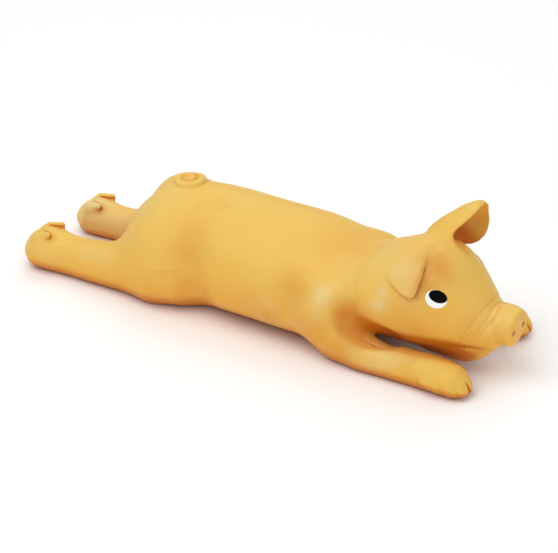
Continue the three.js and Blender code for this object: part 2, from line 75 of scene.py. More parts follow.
# Stations of the soft forms in millimetres: x, middle y, half width, top, bottom. Rounds are
# the lengths of the round ends, and fullness squares the underside
BODY = {
    "rows": [
        (-71.0, 0, 22.5, 37.0, 2.8),
        (-54.8, 0, 27.6, 43.4, -0.5),
        (-35.2, 0, 29.4, 46.4, -0.5),
        (-4.2, 0, 29.8, 46.8, -0.5),
        (22.0, 0, 30.3, 46.2, -0.5),
        (36.0, 0, 29.0, 43.8, 0.0),
        (48.0, 0, 26.0, 40.8, 5.5),
        (62.0, 0, 22.0, 39.0, 12.0),
    ],
    "rounds": (24, 18),
    "fullness": 2.15,
}
HEAD = {
    "rows": [
        (44.0, 0, 22.5, 41.5, 9.5),
        (55.7, 0, 23.8, 47.2, 9.0),
        (70.7, 0, 24.3, 53.2, 7.5),
        (81.0, 0, 22.8, 52.4, 8.0),
        (90.2, 0, 19.1, 46.7, 8.0),
        (97.3, 0, 14.7, 39.0, 9.4),
        (103.2, 0, 11.1, 32.2, 12.0),
        (109.0, 0, 8.8, 31.4, 15.0),
    ],
    "rounds": (10, 3),
    "fullness": 1.9,
}
JAW = {
    "rows": [
        (67.0, 0, 11.5, 22.0, 7.7),
        (87.7, 0, 11.5, 22.0, 4.5),
        (101.5, 0, 9.8, 19.8, 4.5),
    ],
    "rounds": (14, 10),
    "fullness": 2.0,
}

# Legs run from root to tip; their rows are share of the run, lean, half width, top
LEGS = {
    "hind_leg_left": {"run": (-41, -111.5), "y": 16.5, "splay": 0, "half": 8.8},
    "hind_leg_right": {"run": (-41, -113.5), "y": -19.5, "splay": 0, "half": 10},
    "fore_leg_left": {"run": (33, 104), "y": 25, "splay": 8, "half": 8.3},
    "fore_leg_right": {"run": (33, 104.5), "y": -22, "splay": 0, "half": 8.3},
}
HIND_ROWS = [
    (0.00, -3, 1.30, 2.50),
    (0.25, -1, 1.00, 2.20),
    (0.50, 0, 0.86, 1.86),
    (0.70, 0, 0.84, 1.72),
    (0.86, 0, 1.00, 1.82),
    (1.00, 0, 0.90, 1.50),
]
FORE_ROWS = [
    (0.00, -8, 1.24, 3.00),
    (0.14, -3, 1.16, 2.48),
    (0.29, 1, 0.90, 1.82),
    (0.41, 0.8, 0.86, 1.72),
    (0.60, 0.4, 0.86, 1.68),
    (0.80, 0, 0.92, 1.66),
    (0.92, 0, 0.92, 1.42),
    (1.00, 0, 0.86, 0.90),
]
LEG_ROUND = 8
# Soles lie under the floor, which then cuts them flat
SOLE = -0.5
# Dewclaws: how far behind the toe, how far out, share of the leg's height, radius
DEWCLAWS = {
    "hind": ((9, 4.4, 0.86, 2.9), (14, 5.4, 1.0, 1.3)),
    "fore": ((13, 5.2, 0.42, 2.8), (17.5, 7.6, 0.46, 1.2)),
}
# The slit beside each hind dewclaw, as a thin rod pressed in: how far behind the toe, how far out
SLIT = {"from": (9.8, 2.6), "to": (14.5, 3.4), "share": 0.99, "radius": 0.4}
CLEFT = {"length": 2.7, "width": 0.9}
NAIL = {"back": 2.6, "lean": 0.14, "width": 0.8, "depth": 0.3}

# Round forms on both sides, then the snout and its nostrils
HAUNCH = {"centre": (-41, 14.8, 16.8), "size": (19, 15.5, 17)}
SHOULDER = {"centre": (40, 20.5, 19), "size": (12, 10.5, 16)}
SNOUT = {"centre": (109.5, 0, 24.9), "radius": 8.2, "half": 4.5, "rim": 2.1, "tilt": 6}
NOSTRIL = {"y": 4.2, "rise": 0.2, "size": (1.8, 0.9, 1.1)}
# Wrinkles lean forward as they rise: how far ahead of the first one, share of depth, top
WRINKLE_FOOT = {"x": 95.7, "z": 21.3, "lean": 0.47}
WRINKLE_FADE = {"foot": 16, "rise": 4, "top": 5}
WRINKLES = [(0, 0.9, 34.5), (1.9, 0.8, 29), (3.8, 0.9, 31), (5.7, 0.7, 34), (9.9, 0.4, 34)]
# The mouth line on both cheeks: x, z
MOUTH = [(84, 17.8), (92, 16.9), (98, 16.5), (103, 15.4), (109, 13.5)]
MOUTH_LINE = {"half": 1.5, "fade": 6}
# The tail winds inwards as it thins, and comes up out of the rump over its first stretch
TAIL = {
    "x": -45.2, "y": 2.8, "radius": 6.5, "lead": 6.5, "thick": 2.2, "turns": 1.7,
    "raise": 0, "dive": 0.7, "mound": (13, 11, 8.1), "foot": 40,
    "onset": 5, "wind": (1.15, 0.95), "thin": (0.55, 0.5),
}
# The fold between foreleg and neck, as a round rod pressed into the skin: x, y, z, radius
ARMPIT = [
    (46.5, 30.5, 32.0, 1.0), (49.5, 29.5, 26.0, 2.2), (52.5, 28.5, 21.0, 3.2),
    (58.0, 25.0, 17.0, 2.8), (66.0, 20.0, 15.0, 2.2),
]
# The mould's seam along each flank: x, z. It fades forward and towards the middle
SEAM = [
    (-100, 15), (-85, 15.4), (-73, 16.6), (-61, 18), (-47, 21), (-35, 23.2), (-18, 27), (-2, 29),
]
SEAM_FADE = {"half": 0.6, "ahead": 25, "from": 20, "over": 4}
# The fold between haunch and belly, pressed in the same way
WAIST = [
    (-23.5, 28.2, 3.5, 6.0), (-22.5, 30.2, 7.5, 6.0), (-22.3, 35.2, 18.6, 6.0), (-25, 35.8, 30, 6.0),
]
SQUEAKER_SEAT = {"x": -17, "radius": 9.9, "depth": 1.6}

# How widely small forms melt into the skin or are pressed into it
SOFT = {
    "jaw": 5, "snout": 2.5, "nostril": 0.8, "claw": 2.2, "slit": 0.8, "cleft": 1.2,
    "mound": 4, "coil": 1.2, "rod": 6, "floor": 0.8, "seat": 0.4, "crease": 2,
}
# How far from each form its distance is still worked out
REACH = {"leg": 16, "head": 16, "ear": 30, "tail": 8, "armpit": 12, "waist": 14}
HEAD_BOX = ((40, -26, 4), (118, 26, 60))

# The left ear bends over its length like a gutter, the right one lies on the head, its front
# edge up. Rows from root to tip: share of the length, reach of rear and front edge, height,
# thickness
EARS = {
    "ear_left": {
        "root": (75.5, 16, 45.5), "tip": (85.0, 28.6, 59.2), "front": (-0.02, 0.73, -0.68),
        "rows": [
            (0.00, 12.0, 8.6, 9.2, 5.0),
            (0.20, 11.6, 11.0, 9.0, 4.0),
            (0.42, 11.3, 11.5, 8.0, 3.2),
            (0.66, 10.4, 10.2, 6.6, 3.0),
            (0.84, 8.2, 7.3, 4.8, 2.8),
            (0.94, 5.6, 4.0, 3.4, 2.6),
            (1.00, 2.4, 1.6, 2.4, 2.4),
        ],
        "bend": 0.068, "melt": 3, "cut": (1, 0), "free": 7.5,
    },
    "ear_right": {
        "root": (69, -9, 48.0), "tip": (76.6, -24.2, 40.6), "front": (0.81, 0.13, 0.57),
        "rows": [
            (0.00, 8.0, 8.4, -1.6, 3.4),
            (0.20, 8.6, 8.5, -0.6, 2.8),
            (0.42, 8.2, 7.9, 0.5, 2.4),
            (0.66, 6.6, 6.4, 1.2, 2.2),
            (0.84, 4.4, 4.2, 1.6, 2.1),
            (0.94, 2.7, 2.6, 1.8, 2.0),
            (1.00, 1.2, 1.2, 1.9, 2.0),
        ],
        "tilt": 0.16, "melt": 1.6, "cut": (0.6, 0.8), "free": 9,
    },
}
# An ear's round rim as a share of its thickness, its steepest taper, and how far the leaf goes
# on past its edge and behind its root
EAR_RIM = {"share": 0.47, "steepest": 0.8, "past": 2, "root": 5}

# Eyes are ovals of paint, found on the skin from a start at the side. The pupil is set off from
# the middle of the white
EYE = {"x": 85.8, "z": 39.2, "half": (4.7, 3.8), "tilt": 22, "from": 20.0}
PUPIL = {"half": (4.1, 2.6), "rise": 1.15, "ahead": 0.3}
PAINT = {
    "rings": 14, "around": 48, "dome": 10, "rim": 40, "edge": 0.12, "sunk": 0.25, "under": 0.2,
}

# Marks on the latex: place, radius, strength. Bloom is whitish, partly painted highlight
BLOOM_AND_HIGHLIGHT = [
    (39, -30, 32.5, 4.5, 0.8), (63, -24, 38, 4.0, 0.8), (62.5, -25, 33, 4.0, 0.8),
    (-101, 9, 14, 11, 0.8), (-86, 9, 11, 9, 0.7), (71, -17, 48, 9, 0.55), (75, -24, 43, 7, 0.45),
    (57, -10, 46, 12, 0.3), (-56, -8, 43, 14, 0.3), (-78, -26, 17, 5, 0.35),
    (-70, -27, 18, 5, 0.35), (105, -6, 30, 7, 0.3), (30, 26, 36, 9, 0.4), (-30, 27, 33, 10, 0.3),
]
# Stains are orange; those in the armpits, along the mouth, by the ears and low near the floor are
# painted shade
STAINS_AND_SHADE = [
    (24.5, -29.5, 31, 9, 0.35), (-26, -25, 36, 11, 0.3), (38, -4, 43, 16, 0.22),
    (84, -4, 52, 13, 0.22), (82, -12, 49, 8, 0.95), (81, -17, 45, 7, 0.8),
    (50, -27, 25, 7, 0.85), (52, -24, 20, 7, 0.85), (84, 23, 48, 9, 0.4),
    (50, 27, 25, 7, 0.85), (52, 24, 20, 7, 0.85), (0, 27, 30, 12, 0.3),
    (87, -15.5, 16.5, 5, 0.8), (93, -13.5, 16.6, 4, 0.7), (99, -10.5, 16.3, 4, 0.5),
    (87, 15.5, 16.5, 5, 0.8), (93, 13.5, 16.6, 4, 0.7), (99, 10.5, 16.3, 4, 0.5),
    (79, 27.5, 48, 8, 0.5), (78, -22, 28, 14, 0.25), (98, -13, 24, 9, 0.2),
    (-80, -14, 20, 9, 0.25), (-70, 20, 20, 9, 0.25), (12, -28, 14, 11, 0.25),
    (51, -30.5, 10.5, 8, 0.35), (51, 32, 10.5, 8, 0.35), (36, -31.5, 16, 10, 0.25),
]
# Painted shade in folds: darker where skin or floor comes near within these reaches, the floor by a
# lesser share
PAINTED_SHADE_REACH = (2.5, 6.5, 12.0)
FLOOR_SHADE_SHARE = 0.5
# Painted shade along the snout's wrinkles, as a share of their depth
WRINKLE_SHADE = 0.3

# Where the neck is cut: through the nod's pivot, leaning so that the throat stays behind
NECK_LEAN = 30
NECK_REAR = 30
# Where legs are cut: forelegs a little past their pivot, hind legs by a slanting plane
FORE_FREE = 3
HIND_CUT = (-0.9, 0.43)
LEG_CUT = {"near": 3, "behind": 6}
EAR_CUT = 1.5
# Room that the meshing grids take in
BODY_ROOM = ((-90, -36, -1), (74, 36, 53))
HEAD_ROOM = ((40, -34, 2), (119, 36, 66))
LEG_ROOM = {"ends": 8, "side": 17, "foot": -1, "top": 26}
EAR_ROOM = 13
# The distance that stands for far off
FAR = 60.0
# Grid points are first taken this far apart, then closely within a band of so many steps
COARSE = 4
BAND = 8
# Divisors are kept above this
LEAST = 0.05

# Filling: fibres in metres, the wads in millimetres
FIBRE = {
    "bend": 0.003, "sweep": 2.4, "thick": 0.00006, "turn": 6.28, "density": 60000.0, "seed": 5,
}
WAD = {"inset": 4.5, "lump": 1.2, "waves": (0.31, 0.37, 0.29), "room": 4, "step": 2.0}

# Finishes of paint and plastic: roughness and gloss. Roughness varies by so much down and up
FINISHES = {
    "eye_white": (0.4, 0.2),
    "eye_black": (0.5, 0.04),
    "squeaker_plastic": (0.42, 0.2),
    "reed_film": (0.2, 0.2),
}
UNEVEN = (0.06, 0.08)
# Noise on the latex: scale, detail, roughness
LATEX_NOISE = {
    "cloud": (38, 4, 0.6), "patch": (21, 3, 0.6), "stain_and_shade": (60, 3, 0.6), "mottle": (33, 4, 0.65),
    "gloss": (120, 4, 0.6), "grain": (900, 3, 0.6), "swell": (95, 2, 0.5),
}
# How values on the latex become shares: from, to, share at from, share at to
LATEX_SPREAD = {
    "upward": (-0.5, 0.75, 0, 1), "clouded": (0.25, 0.75, 0.6, 1), "patch": (0.57, 0.74, 0, 0.42),
    "bloom_and_highlight": (0.2, 0.6, 0.6, 1), "stain_and_shade": (0.25, 0.7, 0.5, 1), "mottle": (0.55, 0.78, 0, 0.3),
    "fold": (0.04, 0.47, 0, 1), "shaded": (0.2, 0.9, 1, 0.55), "gloss": (0.3, 0.7, 0.42, 0.58),
}
LATEX_GLOW = {
    "Specular IOR Level": 0.22, "Subsurface Weight": 0.12, "Subsurface Radius": (1.0, 0.45, 0.15),
    "Subsurface Scale": 0.0015,
}
PLASTIC_GLOW = {"Subsurface Weight": 0.2, "Subsurface Scale": 0.001}

# Stage in metres and watts: each lamp's place, size and power. The camera's lens and sensor are
# in millimetres, its turn and lift in degrees
LAMPS = {
    "over": ((0, 0, 1.2), 1.6, 4.6),
    "key": ((-0.25, -0.55, 1.05), 1.0, 6.9),
    "fill": ((0.95, -0.45, 0.55), 0.9, 2.4),
    "back": ((-0.2, 0.9, 0.8), 1.2, 3.9),
}
SKY = 0.34
FLOOR_HALF = 3
CAMERA = {
    "lens": 184.4, "sensor": 36, "turn": 31, "lift": 30, "away": 1.2,
    "look_at": (0.00315, -0.00265, 0.01727),
}


def a_length(name, about, default):
    """A length in metres that a user may change."""
    return FloatProperty(name=name, description=about, default=default, unit="LENGTH")


def a_colour(name, about, default):
    """A colour that a user may change."""
    return FloatVectorProperty(
        name=name, description=about, subtype="COLOR", size=3, min=0, max=1, default=default)


class PigShape(bpy.types.PropertyGroup):
    """Sizes of the skin's softness and fine relief."""

    body_step: a_length("Body step", "Mesh step on body and legs", 0.0007)
    head_step: a_length("Head step", "Mesh step on head and ears", 0.0005)
    neck_melt: a_length("Neck melt", "How widely the head melts into the body", 0.010)
    limb_melt: a_length("Limb melt", "How widely legs melt into the body", 0.009)
    crease: a_length("Crease", "Softness of the fold between head and leg", 0.0015)
    wrinkle_depth: a_length("Wrinkle depth", "Depth of the snout's wrinkles", 0.0005)
    wrinkle_width: a_length("Wrinkle width", "Half width of a wrinkle on the snout", 0.0008)
    mouth_depth: a_length("Mouth depth", "Depth of the mouth line", 0.0008)
    seam: a_length("Seam", "Height of the mould's seam", 0.00016)
    paint: a_length("Paint", "Thickness of an eye's coat of paint", 0.00012)


class PigColours(bpy.types.PropertyGroup):
    """Colours of the latex, the paint, the inner pieces and the stage."""

    latex: a_colour("Latex", "Latex where it is plain", (0.865, 0.445, 0.062))
    # Painted light: this paler latex goes where the skin faces up, standing in for light from above
    pale: a_colour("Pale latex", "Latex on the back and other high places", (0.785, 0.525, 0.113))
    # Deep orange for stains and mottling, and for painted shade in folds, near the floor and on
    # faces turned down
    deep: a_colour("Deep latex", "Latex in folds and hollows", (0.60, 0.175, 0.010))
    # Whitish bloom, and also the colour of painted highlights on the right ear and the hind legs
    bloom_and_highlight: a_colour("Bloom_and_highlight", "Whitish bloom rubbed into the skin", (0.80, 0.62, 0.28))
    white: a_colour("Eye white", "White paint", (0.95, 0.95, 0.93))
    black: a_colour("Pupil", "Black paint", (0.002, 0.002, 0.002))
    fibre: a_colour("Fibre", "Filling fibre", (0.86, 0.86, 0.83))
    plastic: a_colour("Squeaker plastic", "Milky squeaker plastic", (0.82, 0.82, 0.78))
    film: a_colour("Reed film", "Thin film of the reed", (0.70, 0.74, 0.78))
    floor: a_colour("Floor", "Pale floor", (0.97, 0.97, 0.97))


def shape():
    """The scene's sizes."""
    return bpy.context.scene.pig_shape


def colours():
    """The scene's colours."""
    return bpy.context.scene.pig_colours


def pivot(joint):
    """A joint's place in millimetres."""
    return np.array(JOINTS[joint]["pos_m"]) / MM


# Fields of distance, in millimetres, negative inside

def melt(a, b, width):
    """The union of two fields, rounded over a width where they meet."""
    near = np.clip(width - np.abs(a - b), 0, None) / width
    return np.minimum(a, b) - near * near * width / 4


def carve(a, b, width):
    """Field a less field b, rounded over a width."""
    return -melt(-a, b, width)


def smooth_rows(rows, count=160):
    """A smooth curve through rows of numbers, sampled along their first column."""
    table = np.array(sorted(rows), float)
    x, values = table[:, 0], table[:, 1:]
    slope = np.gradient(values, x, axis=0)
    at = np.linspace(x[0], x[-1], count)
    i = np.clip(np.searchsorted(x, at) - 1, 0, len(x) - 2)
    run = x[i + 1] - x[i]
    t = ((at - x[i]) / run)[:, None]
    run = run[:, None]
    made = (
        values[i] * (1 + 2 * t) * (1 - t) ** 2
        + slope[i] * run * t * (1 - t) ** 2
        + values[i + 1] * t * t * (3 - 2 * t)
        + slope[i + 1] * run * t * t * (t - 1)
    )
    return at, made


def read_rows(curve, x):
    """The columns of a smooth curve at x."""
    at, made = curve
    return [np.interp(x, at, column) for column in made.T]


def only_near(points, low, high, reach, field):
    """A field worked out only near its box; further off it is simply far."""
    low, high = np.array(low) - reach, np.array(high) + reach
    near = np.all((points > low) & (points < high), axis=1)
    made = np.full(len(points), FAR)
    if near.any():
        made[near] = field(points[near])
    return made


def loft_field(points, form):
    """A soft form along X: an oval whose size follows the form's rows, with round ends."""
    rear, front = form["curve"][0][0], form["curve"][0][-1]
    y, half, top, bottom = read_rows(form["curve"], points[:, 0])
    across = points[:, 1] - y
    up = points[:, 2] - (top + bottom) / 2
    rise = (top - bottom) / 2
    power = np.where(up < 0, form["fullness"], 2.0)
    oval = ((np.abs(across) / half) ** power + (np.abs(up) / rise) ** power) ** (1 / power)
    rear_round, front_round = form["rounds"]
    behind = np.clip(1 - (points[:, 0] - rear) / rear_round, 0, None)
    ahead = np.clip(1 - (front - points[:, 0]) / front_round, 0, None)
    share = np.sqrt(oval ** 2 + behind ** 2 + ahead ** 2)
    reach = np.sqrt(across ** 2 + up ** 2 + (behind * rear_round) ** 2 + (ahead * front_round) ** 2)
    return reach * (1 - 1 / np.maximum(share, LEAST))


def loft_box(form):
    """The lowest and highest corner of a soft form."""
    at, made = form["curve"]
    y, half, top, bottom = made.T
    return ((at[0], (y - half).min(), bottom.min()), (at[-1], (y + half).max(), top.max()))


def ball_field(points, centre, size):
    """An ellipsoid."""
    apart = points - np.array(centre)
    share = np.linalg.norm(apart / np.array(size), axis=1)
    return np.linalg.norm(apart, axis=1) * (1 - 1 / np.maximum(share, LEAST))


def leg_form(name):
    """A leg's soft form, from its run and rows."""
    leg = LEGS[name]
    root, tip = leg["run"]
    side = math.copysign(1, leg["y"])
    rows = HIND_ROWS if name.startswith("hind") else FORE_ROWS
    bend = (pivot(f"{name}_swing")[0] - root) / (tip - root)
    made = [
        (
            root + t * (tip - root),
            leg["y"] + side * (lean + leg["splay"] * (t - bend) / (1 - bend)),
            half * leg["half"],
            top * leg["half"],
            SOLE,
        )
        for t, lean, half, top in rows
    ]
    return {"rows": made, "rounds": (LEG_ROUND, LEG_ROUND), "fullness": 2.0}


def leg_field(points, name):
    """A leg with its dewclaws, nails and cloven toe."""
    form = FORMS[name]
    root, tip = LEGS[name]["run"]
    ahead = math.copysign(1, tip - root)
    field = loft_field(points, form)
    back = np.abs(tip - points[:, 0])
    ring = (back - NAIL["back"] - NAIL["lean"] * points[:, 2]) / NAIL["width"]
    field = field + NAIL["depth"] * np.exp(-ring ** 2)

    def place(behind, out, share):
        x = tip - ahead * behind
        y, _, top, _ = read_rows(form["curve"], x)
        return x, y + out, top * share

    kind = name.split("_")[0]
    for way in (-1, 1):
        claw = [place(behind, way * out, share) for behind, out, share, _ in DEWCLAWS[kind]]
        radii = [radius for *_, radius in DEWCLAWS[kind]]
        field = melt(field, links_field(points, np.array(claw), np.array(radii)), SOFT["claw"])
        if kind == "hind":
            ends = (SLIT["from"], SLIT["to"])
            slit = [place(behind, way * out, SLIT["share"]) for behind, out in ends]
            cut = links_field(points, np.array(slit), np.full(2, SLIT["radius"]))
            field = carve(field, cut, SOFT["slit"])
    middle = read_rows(form["curve"], points[:, 0])[0]
    open_share = np.clip(1 - back / CLEFT["length"], -1, 1)
    cleft = np.abs(points[:, 1] - middle) - CLEFT["width"] * open_share
    return carve(field, cleft, SOFT["cleft"])


def ear_frame(name):
    """An ear's root, its direction, its width direction and its length."""
    pose = EARS[name]
    root = np.array(pose["root"])
    along = np.array(pose["tip"]) - root
    length = np.linalg.norm(along)
    along = along / length
    front = np.array(pose["front"])
    front = front - along * (front @ along)
    return root, along, front / np.linalg.norm(front), length


def ear_field(points, name):
    """A leaf with a thick root and a round rim, cupped or lying on the head."""
    root, along, front, length = ear_frame(name)
    apart = points - root
    u = apart @ along
    v = apart @ front
    w = apart @ np.cross(along, front)
    share = np.clip(u / length, 0, 1)
    curve = FORMS[name]["curve"]
    *reach, ridge, thick = read_rows(curve, share)
    reach = np.where(v < 0, *reach)
    step = 0.02
    taper = (np.where(v < 0, *read_rows(curve, share + step)[:2]) - reach) / (step * length)
    taper = np.clip(taper, -EAR_RIM["steepest"], EAR_RIM["steepest"])
    across = np.clip(v, -reach - EAR_RIM["past"], reach + EAR_RIM["past"])
    if "tilt" in EARS[name]:
        sheet = loft_field(points, FORMS["head"]) - ridge - EARS[name]["tilt"] * across
        sheet = np.abs(sheet) - thick / 2
    else:
        bend = EARS[name]["bend"]
        sheet = w - ridge + bend * across ** 2
        sheet = np.abs(sheet) / np.sqrt(1 + (2 * bend * across) ** 2) - thick / 2
    edge = (np.abs(v) - reach) / np.sqrt(1 + taper ** 2)
    edge = np.maximum(edge, np.maximum(u - length, -EAR_RIM["root"] - u))
    rim = thick * EAR_RIM["share"]
    out = np.hypot(np.clip(sheet + rim, 0, None), np.clip(edge + rim, 0, None))
    return out + np.minimum(np.maximum(sheet, edge) + rim, 0) - rim


def tail_path(count=48):
    """The tail's middle line and radius: a coil in low relief on its mound."""
    t = np.linspace(0, 1, count)
    turn = math.pi * (1 - 2 * TAIL["turns"] * t)
    start = np.clip(1 - TAIL["onset"] * t, 0, None)
    outer, drawn = TAIL["wind"]
    reach = TAIL["radius"] * (outer - drawn * t) + TAIL["lead"] * start ** 2
    x = TAIL["x"] + reach * np.cos(turn)
    y = TAIL["y"] * (1 - start) + reach * np.sin(turn)
    _, half, top, bottom = read_rows(FORMS["body"]["curve"], x)
    behind = np.clip(1 - (x - BODY["rows"][0][0]) / BODY["rounds"][0], 0, None)
    rump = (top + bottom) / 2
    rump += (top - bottom) / 2 * np.sqrt(1 - (y / half) ** 2 - behind ** 2)
    root, end = TAIL["thin"]
    thick = TAIL["thick"] * (1 - root * start) * (1 - end * t)
    long, wide, high = TAIL["mound"]
    away = ((x - TAIL["x"]) / long) ** 2 + ((y - TAIL["y"]) / wide) ** 2
    mound = TAIL["foot"] + high * np.sqrt(np.clip(1 - away, 0, None))
    lift = TAIL["thick"] * (TAIL["raise"] - TAIL["dive"] * start)
    z = np.maximum(rump, mound) + lift
    return np.stack((x, y, z), 1), thick


def links_field(points, path, thick):
    """A run of round links along a path."""
    made = np.full(len(points), FAR)
    for a, b, ra, rb in zip(path[:-1], path[1:], thick[:-1], thick[1:]):
        run = b - a
        t = np.clip((points - a) @ run / (run @ run), 0, 1)
        gap = np.linalg.norm(points - a - t[:, None] * run, axis=1)
        made = np.minimum(made, gap - ra - (rb - ra) * t)
    return made


def links(points, path, thick, reach):
    """Round links along a path, worked out only near them."""
    path, thick = np.array(path), np.array(thick)
    return only_near(
        points, path.min(0), path.max(0), reach, lambda p: links_field(p, path, thick))


def snout_field(points):
    """The flat round snout, leaning forward at its top, with two nostrils."""
    lean = math.radians(SNOUT["tilt"])
    apart = points - np.array(SNOUT["centre"])
    ahead = apart[:, 0] * math.cos(lean) - apart[:, 2] * math.sin(lean)
    up = apart[:, 0] * math.sin(lean) + apart[:, 2] * math.cos(lean)
    across = np.sqrt(up ** 2 + apart[:, 1] ** 2) - SNOUT["radius"] + SNOUT["rim"]
    deep = np.abs(ahead) - SNOUT["half"] + SNOUT["rim"]
    field = np.sqrt(np.clip(across, 0, None) ** 2 + np.clip(deep, 0, None) ** 2)
    field = field + np.minimum(np.maximum(across, deep), 0) - SNOUT["rim"]
    for side in (-1, 1):
        place = np.stack((ahead - SNOUT["half"], apart[:, 1] - side * NOSTRIL["y"], up), 1)
        hole = ball_field(place, (0, 0, NOSTRIL["rise"]), NOSTRIL["size"])
        field = carve(field, hole, SOFT["nostril"])
    return field


def wrinkles_at(points):
    """How deep in a wrinkle of the snout each point lies, from 0 to 1."""
    foot, z = WRINKLE_FOOT, points[:, 2]
    ahead = points[:, 0] - foot["x"] - foot["lean"] * (z - foot["z"])
    deep = np.zeros(len(points))
    for place, share, top in WRINKLES:
        fade = np.clip((z - WRINKLE_FADE["foot"]) / WRINKLE_FADE["rise"], 0, 1)
        fade = fade * np.clip((top - z) / WRINKLE_FADE["top"], 0, 1)
        deep += share * fade * np.exp(-((ahead - place) * MM / shape().wrinkle_width) ** 2)
    return deep


def head_relief(points):
    """How far wrinkles and the mouth line lower the head's skin."""
    line = np.interp(points[:, 0], *zip(*MOUTH))
    along = np.clip((points[:, 0] - MOUTH[0][0]) / MOUTH_LINE["fade"], 0, 1)
    dip = np.exp(-((points[:, 2] - line) / MOUTH_LINE["half"]) ** 2) * along
    return shape().wrinkle_depth / MM * wrinkles_at(points) + shape().mouth_depth / MM * dip


def seam_at(points):
    """How high the mould's seam stands at each point, from 0 to 1."""
    x, y, z = points.T
    ridge = np.exp(-((z - np.interp(x, *zip(*SEAM))) / SEAM_FADE["half"]) ** 2)
    ahead = np.clip((SEAM[-1][0] - x) / SEAM_FADE["ahead"], 0, 1)
    aside = np.clip((np.abs(y) - SEAM_FADE["from"]) / SEAM_FADE["over"], 0, 1)
    return ridge * (ahead * aside)


def skin_field(points):
    """The whole skin."""
    limb_melt = shape().limb_melt / MM
    body = loft_field(points, FORMS["body"])
    trunk = body
    for side in (-1, 1):
        centre = np.array(HAUNCH["centre"]) * (1, side, 1)
        trunk = melt(trunk, ball_field(points, centre, HAUNCH["size"]), limb_melt)
    limbs = FAR + np.zeros(len(points))
    for name in LEGS:
        box = loft_box(FORMS[name])
        leg = only_near(points, *box, REACH["leg"], lambda p, n=name: leg_field(p, n))
        if name.startswith("hind"):
            trunk = melt(trunk, leg, limb_melt)
            continue
        centre = np.array(SHOULDER["centre"]) * (1, math.copysign(1, LEGS[name]["y"]), 1)
        upper = melt(body, ball_field(points, centre, SHOULDER["size"]), limb_melt)
        limbs = np.minimum(limbs, melt(upper, leg, limb_melt))
    head = only_near(points, *HEAD_BOX, REACH["head"], head_field)
    whole = melt(trunk, head, shape().neck_melt / MM)
    crease = shape().crease / MM
    both = np.clip(np.minimum(body - whole, body - limbs) / SOFT["crease"], 0, 1)
    near = np.clip(crease - np.abs(whole - limbs), 0, None) / crease
    whole = np.minimum(whole, limbs) - near * near * crease / 4 * both
    mound = ball_field(points, (TAIL["x"], TAIL["y"], TAIL["foot"]), TAIL["mound"])
    whole = melt(whole, mound, SOFT["mound"])
    whole = melt(whole, links(points, *tail_path(), REACH["tail"]), SOFT["coil"])
    for side in (-1, 1):
        for rods, reach in ((ARMPIT, REACH["armpit"]), (WAIST, REACH["waist"])):
            path = [(x, side * y, z) for x, y, z, _ in rods]
            whole = carve(whole, links(points, path, [r for *_, r in rods], reach), SOFT["rod"])
    whole = whole - shape().seam / MM * seam_at(points)
    whole = carve(whole, points[:, 2], SOFT["floor"])
    seat = np.hypot(points[:, 0] - SQUEAKER_SEAT["x"], points[:, 1]) - SQUEAKER_SEAT["radius"]
    seat = np.maximum(seat, points[:, 2] - SQUEAKER_SEAT["depth"])
    return carve(whole, seat, SOFT["seat"])


def head_field(points):
    """The head with jaw, snout, wrinkles and ears."""
    field = loft_field(points, FORMS["head"])
    field = melt(field, loft_field(points, FORMS["jaw"]), SOFT["jaw"])
    field = melt(field, snout_field(points), SOFT["snout"]) + head_relief(points)
    for name in EARS:
        root, along, _, length = ear_frame(name)
        ends = np.stack((root, root + along * length))
        ear = only_near(
            points, ends.min(0), ends.max(0), REACH["ear"], lambda p, n=name: ear_field(p, n))
        field = melt(field, ear, EARS[name]["melt"])
    return field


def with_curve(form):
    """A form with the smooth curve through its rows."""
    return {**form, "curve": smooth_rows(form["rows"])}


FORMS = {"body": with_curve(BODY), "head": with_curve(HEAD), "jaw": with_curve(JAW)}
FORMS.update({name: with_curve(leg_form(name)) for name in LEGS})
FORMS.update({name: with_curve(ear) for name, ear in EARS.items()})


# From field to mesh

def sampled(field, axes, band):
    """A field on a grid; away from its surface a coarse point stands for its neighbours."""
    rough = [axis[::COARSE] for axis in axes]
    points = np.stack(np.meshgrid(*rough, indexing="ij"), -1).reshape(-1, 3)
    value = field(points).reshape([len(axis) for axis in rough])
    nearest = [
        np.minimum((np.arange(len(axis)) + COARSE // 2) // COARSE, len(few) - 1)
        for axis, few in zip(axes, rough)
    ]
    value = value[np.ix_(*nearest)]
    near = np.nonzero(np.abs(value) < band)
    value[near] = field(np.stack([axis[i] for axis, i in zip(axes, near)], 1))
    return value


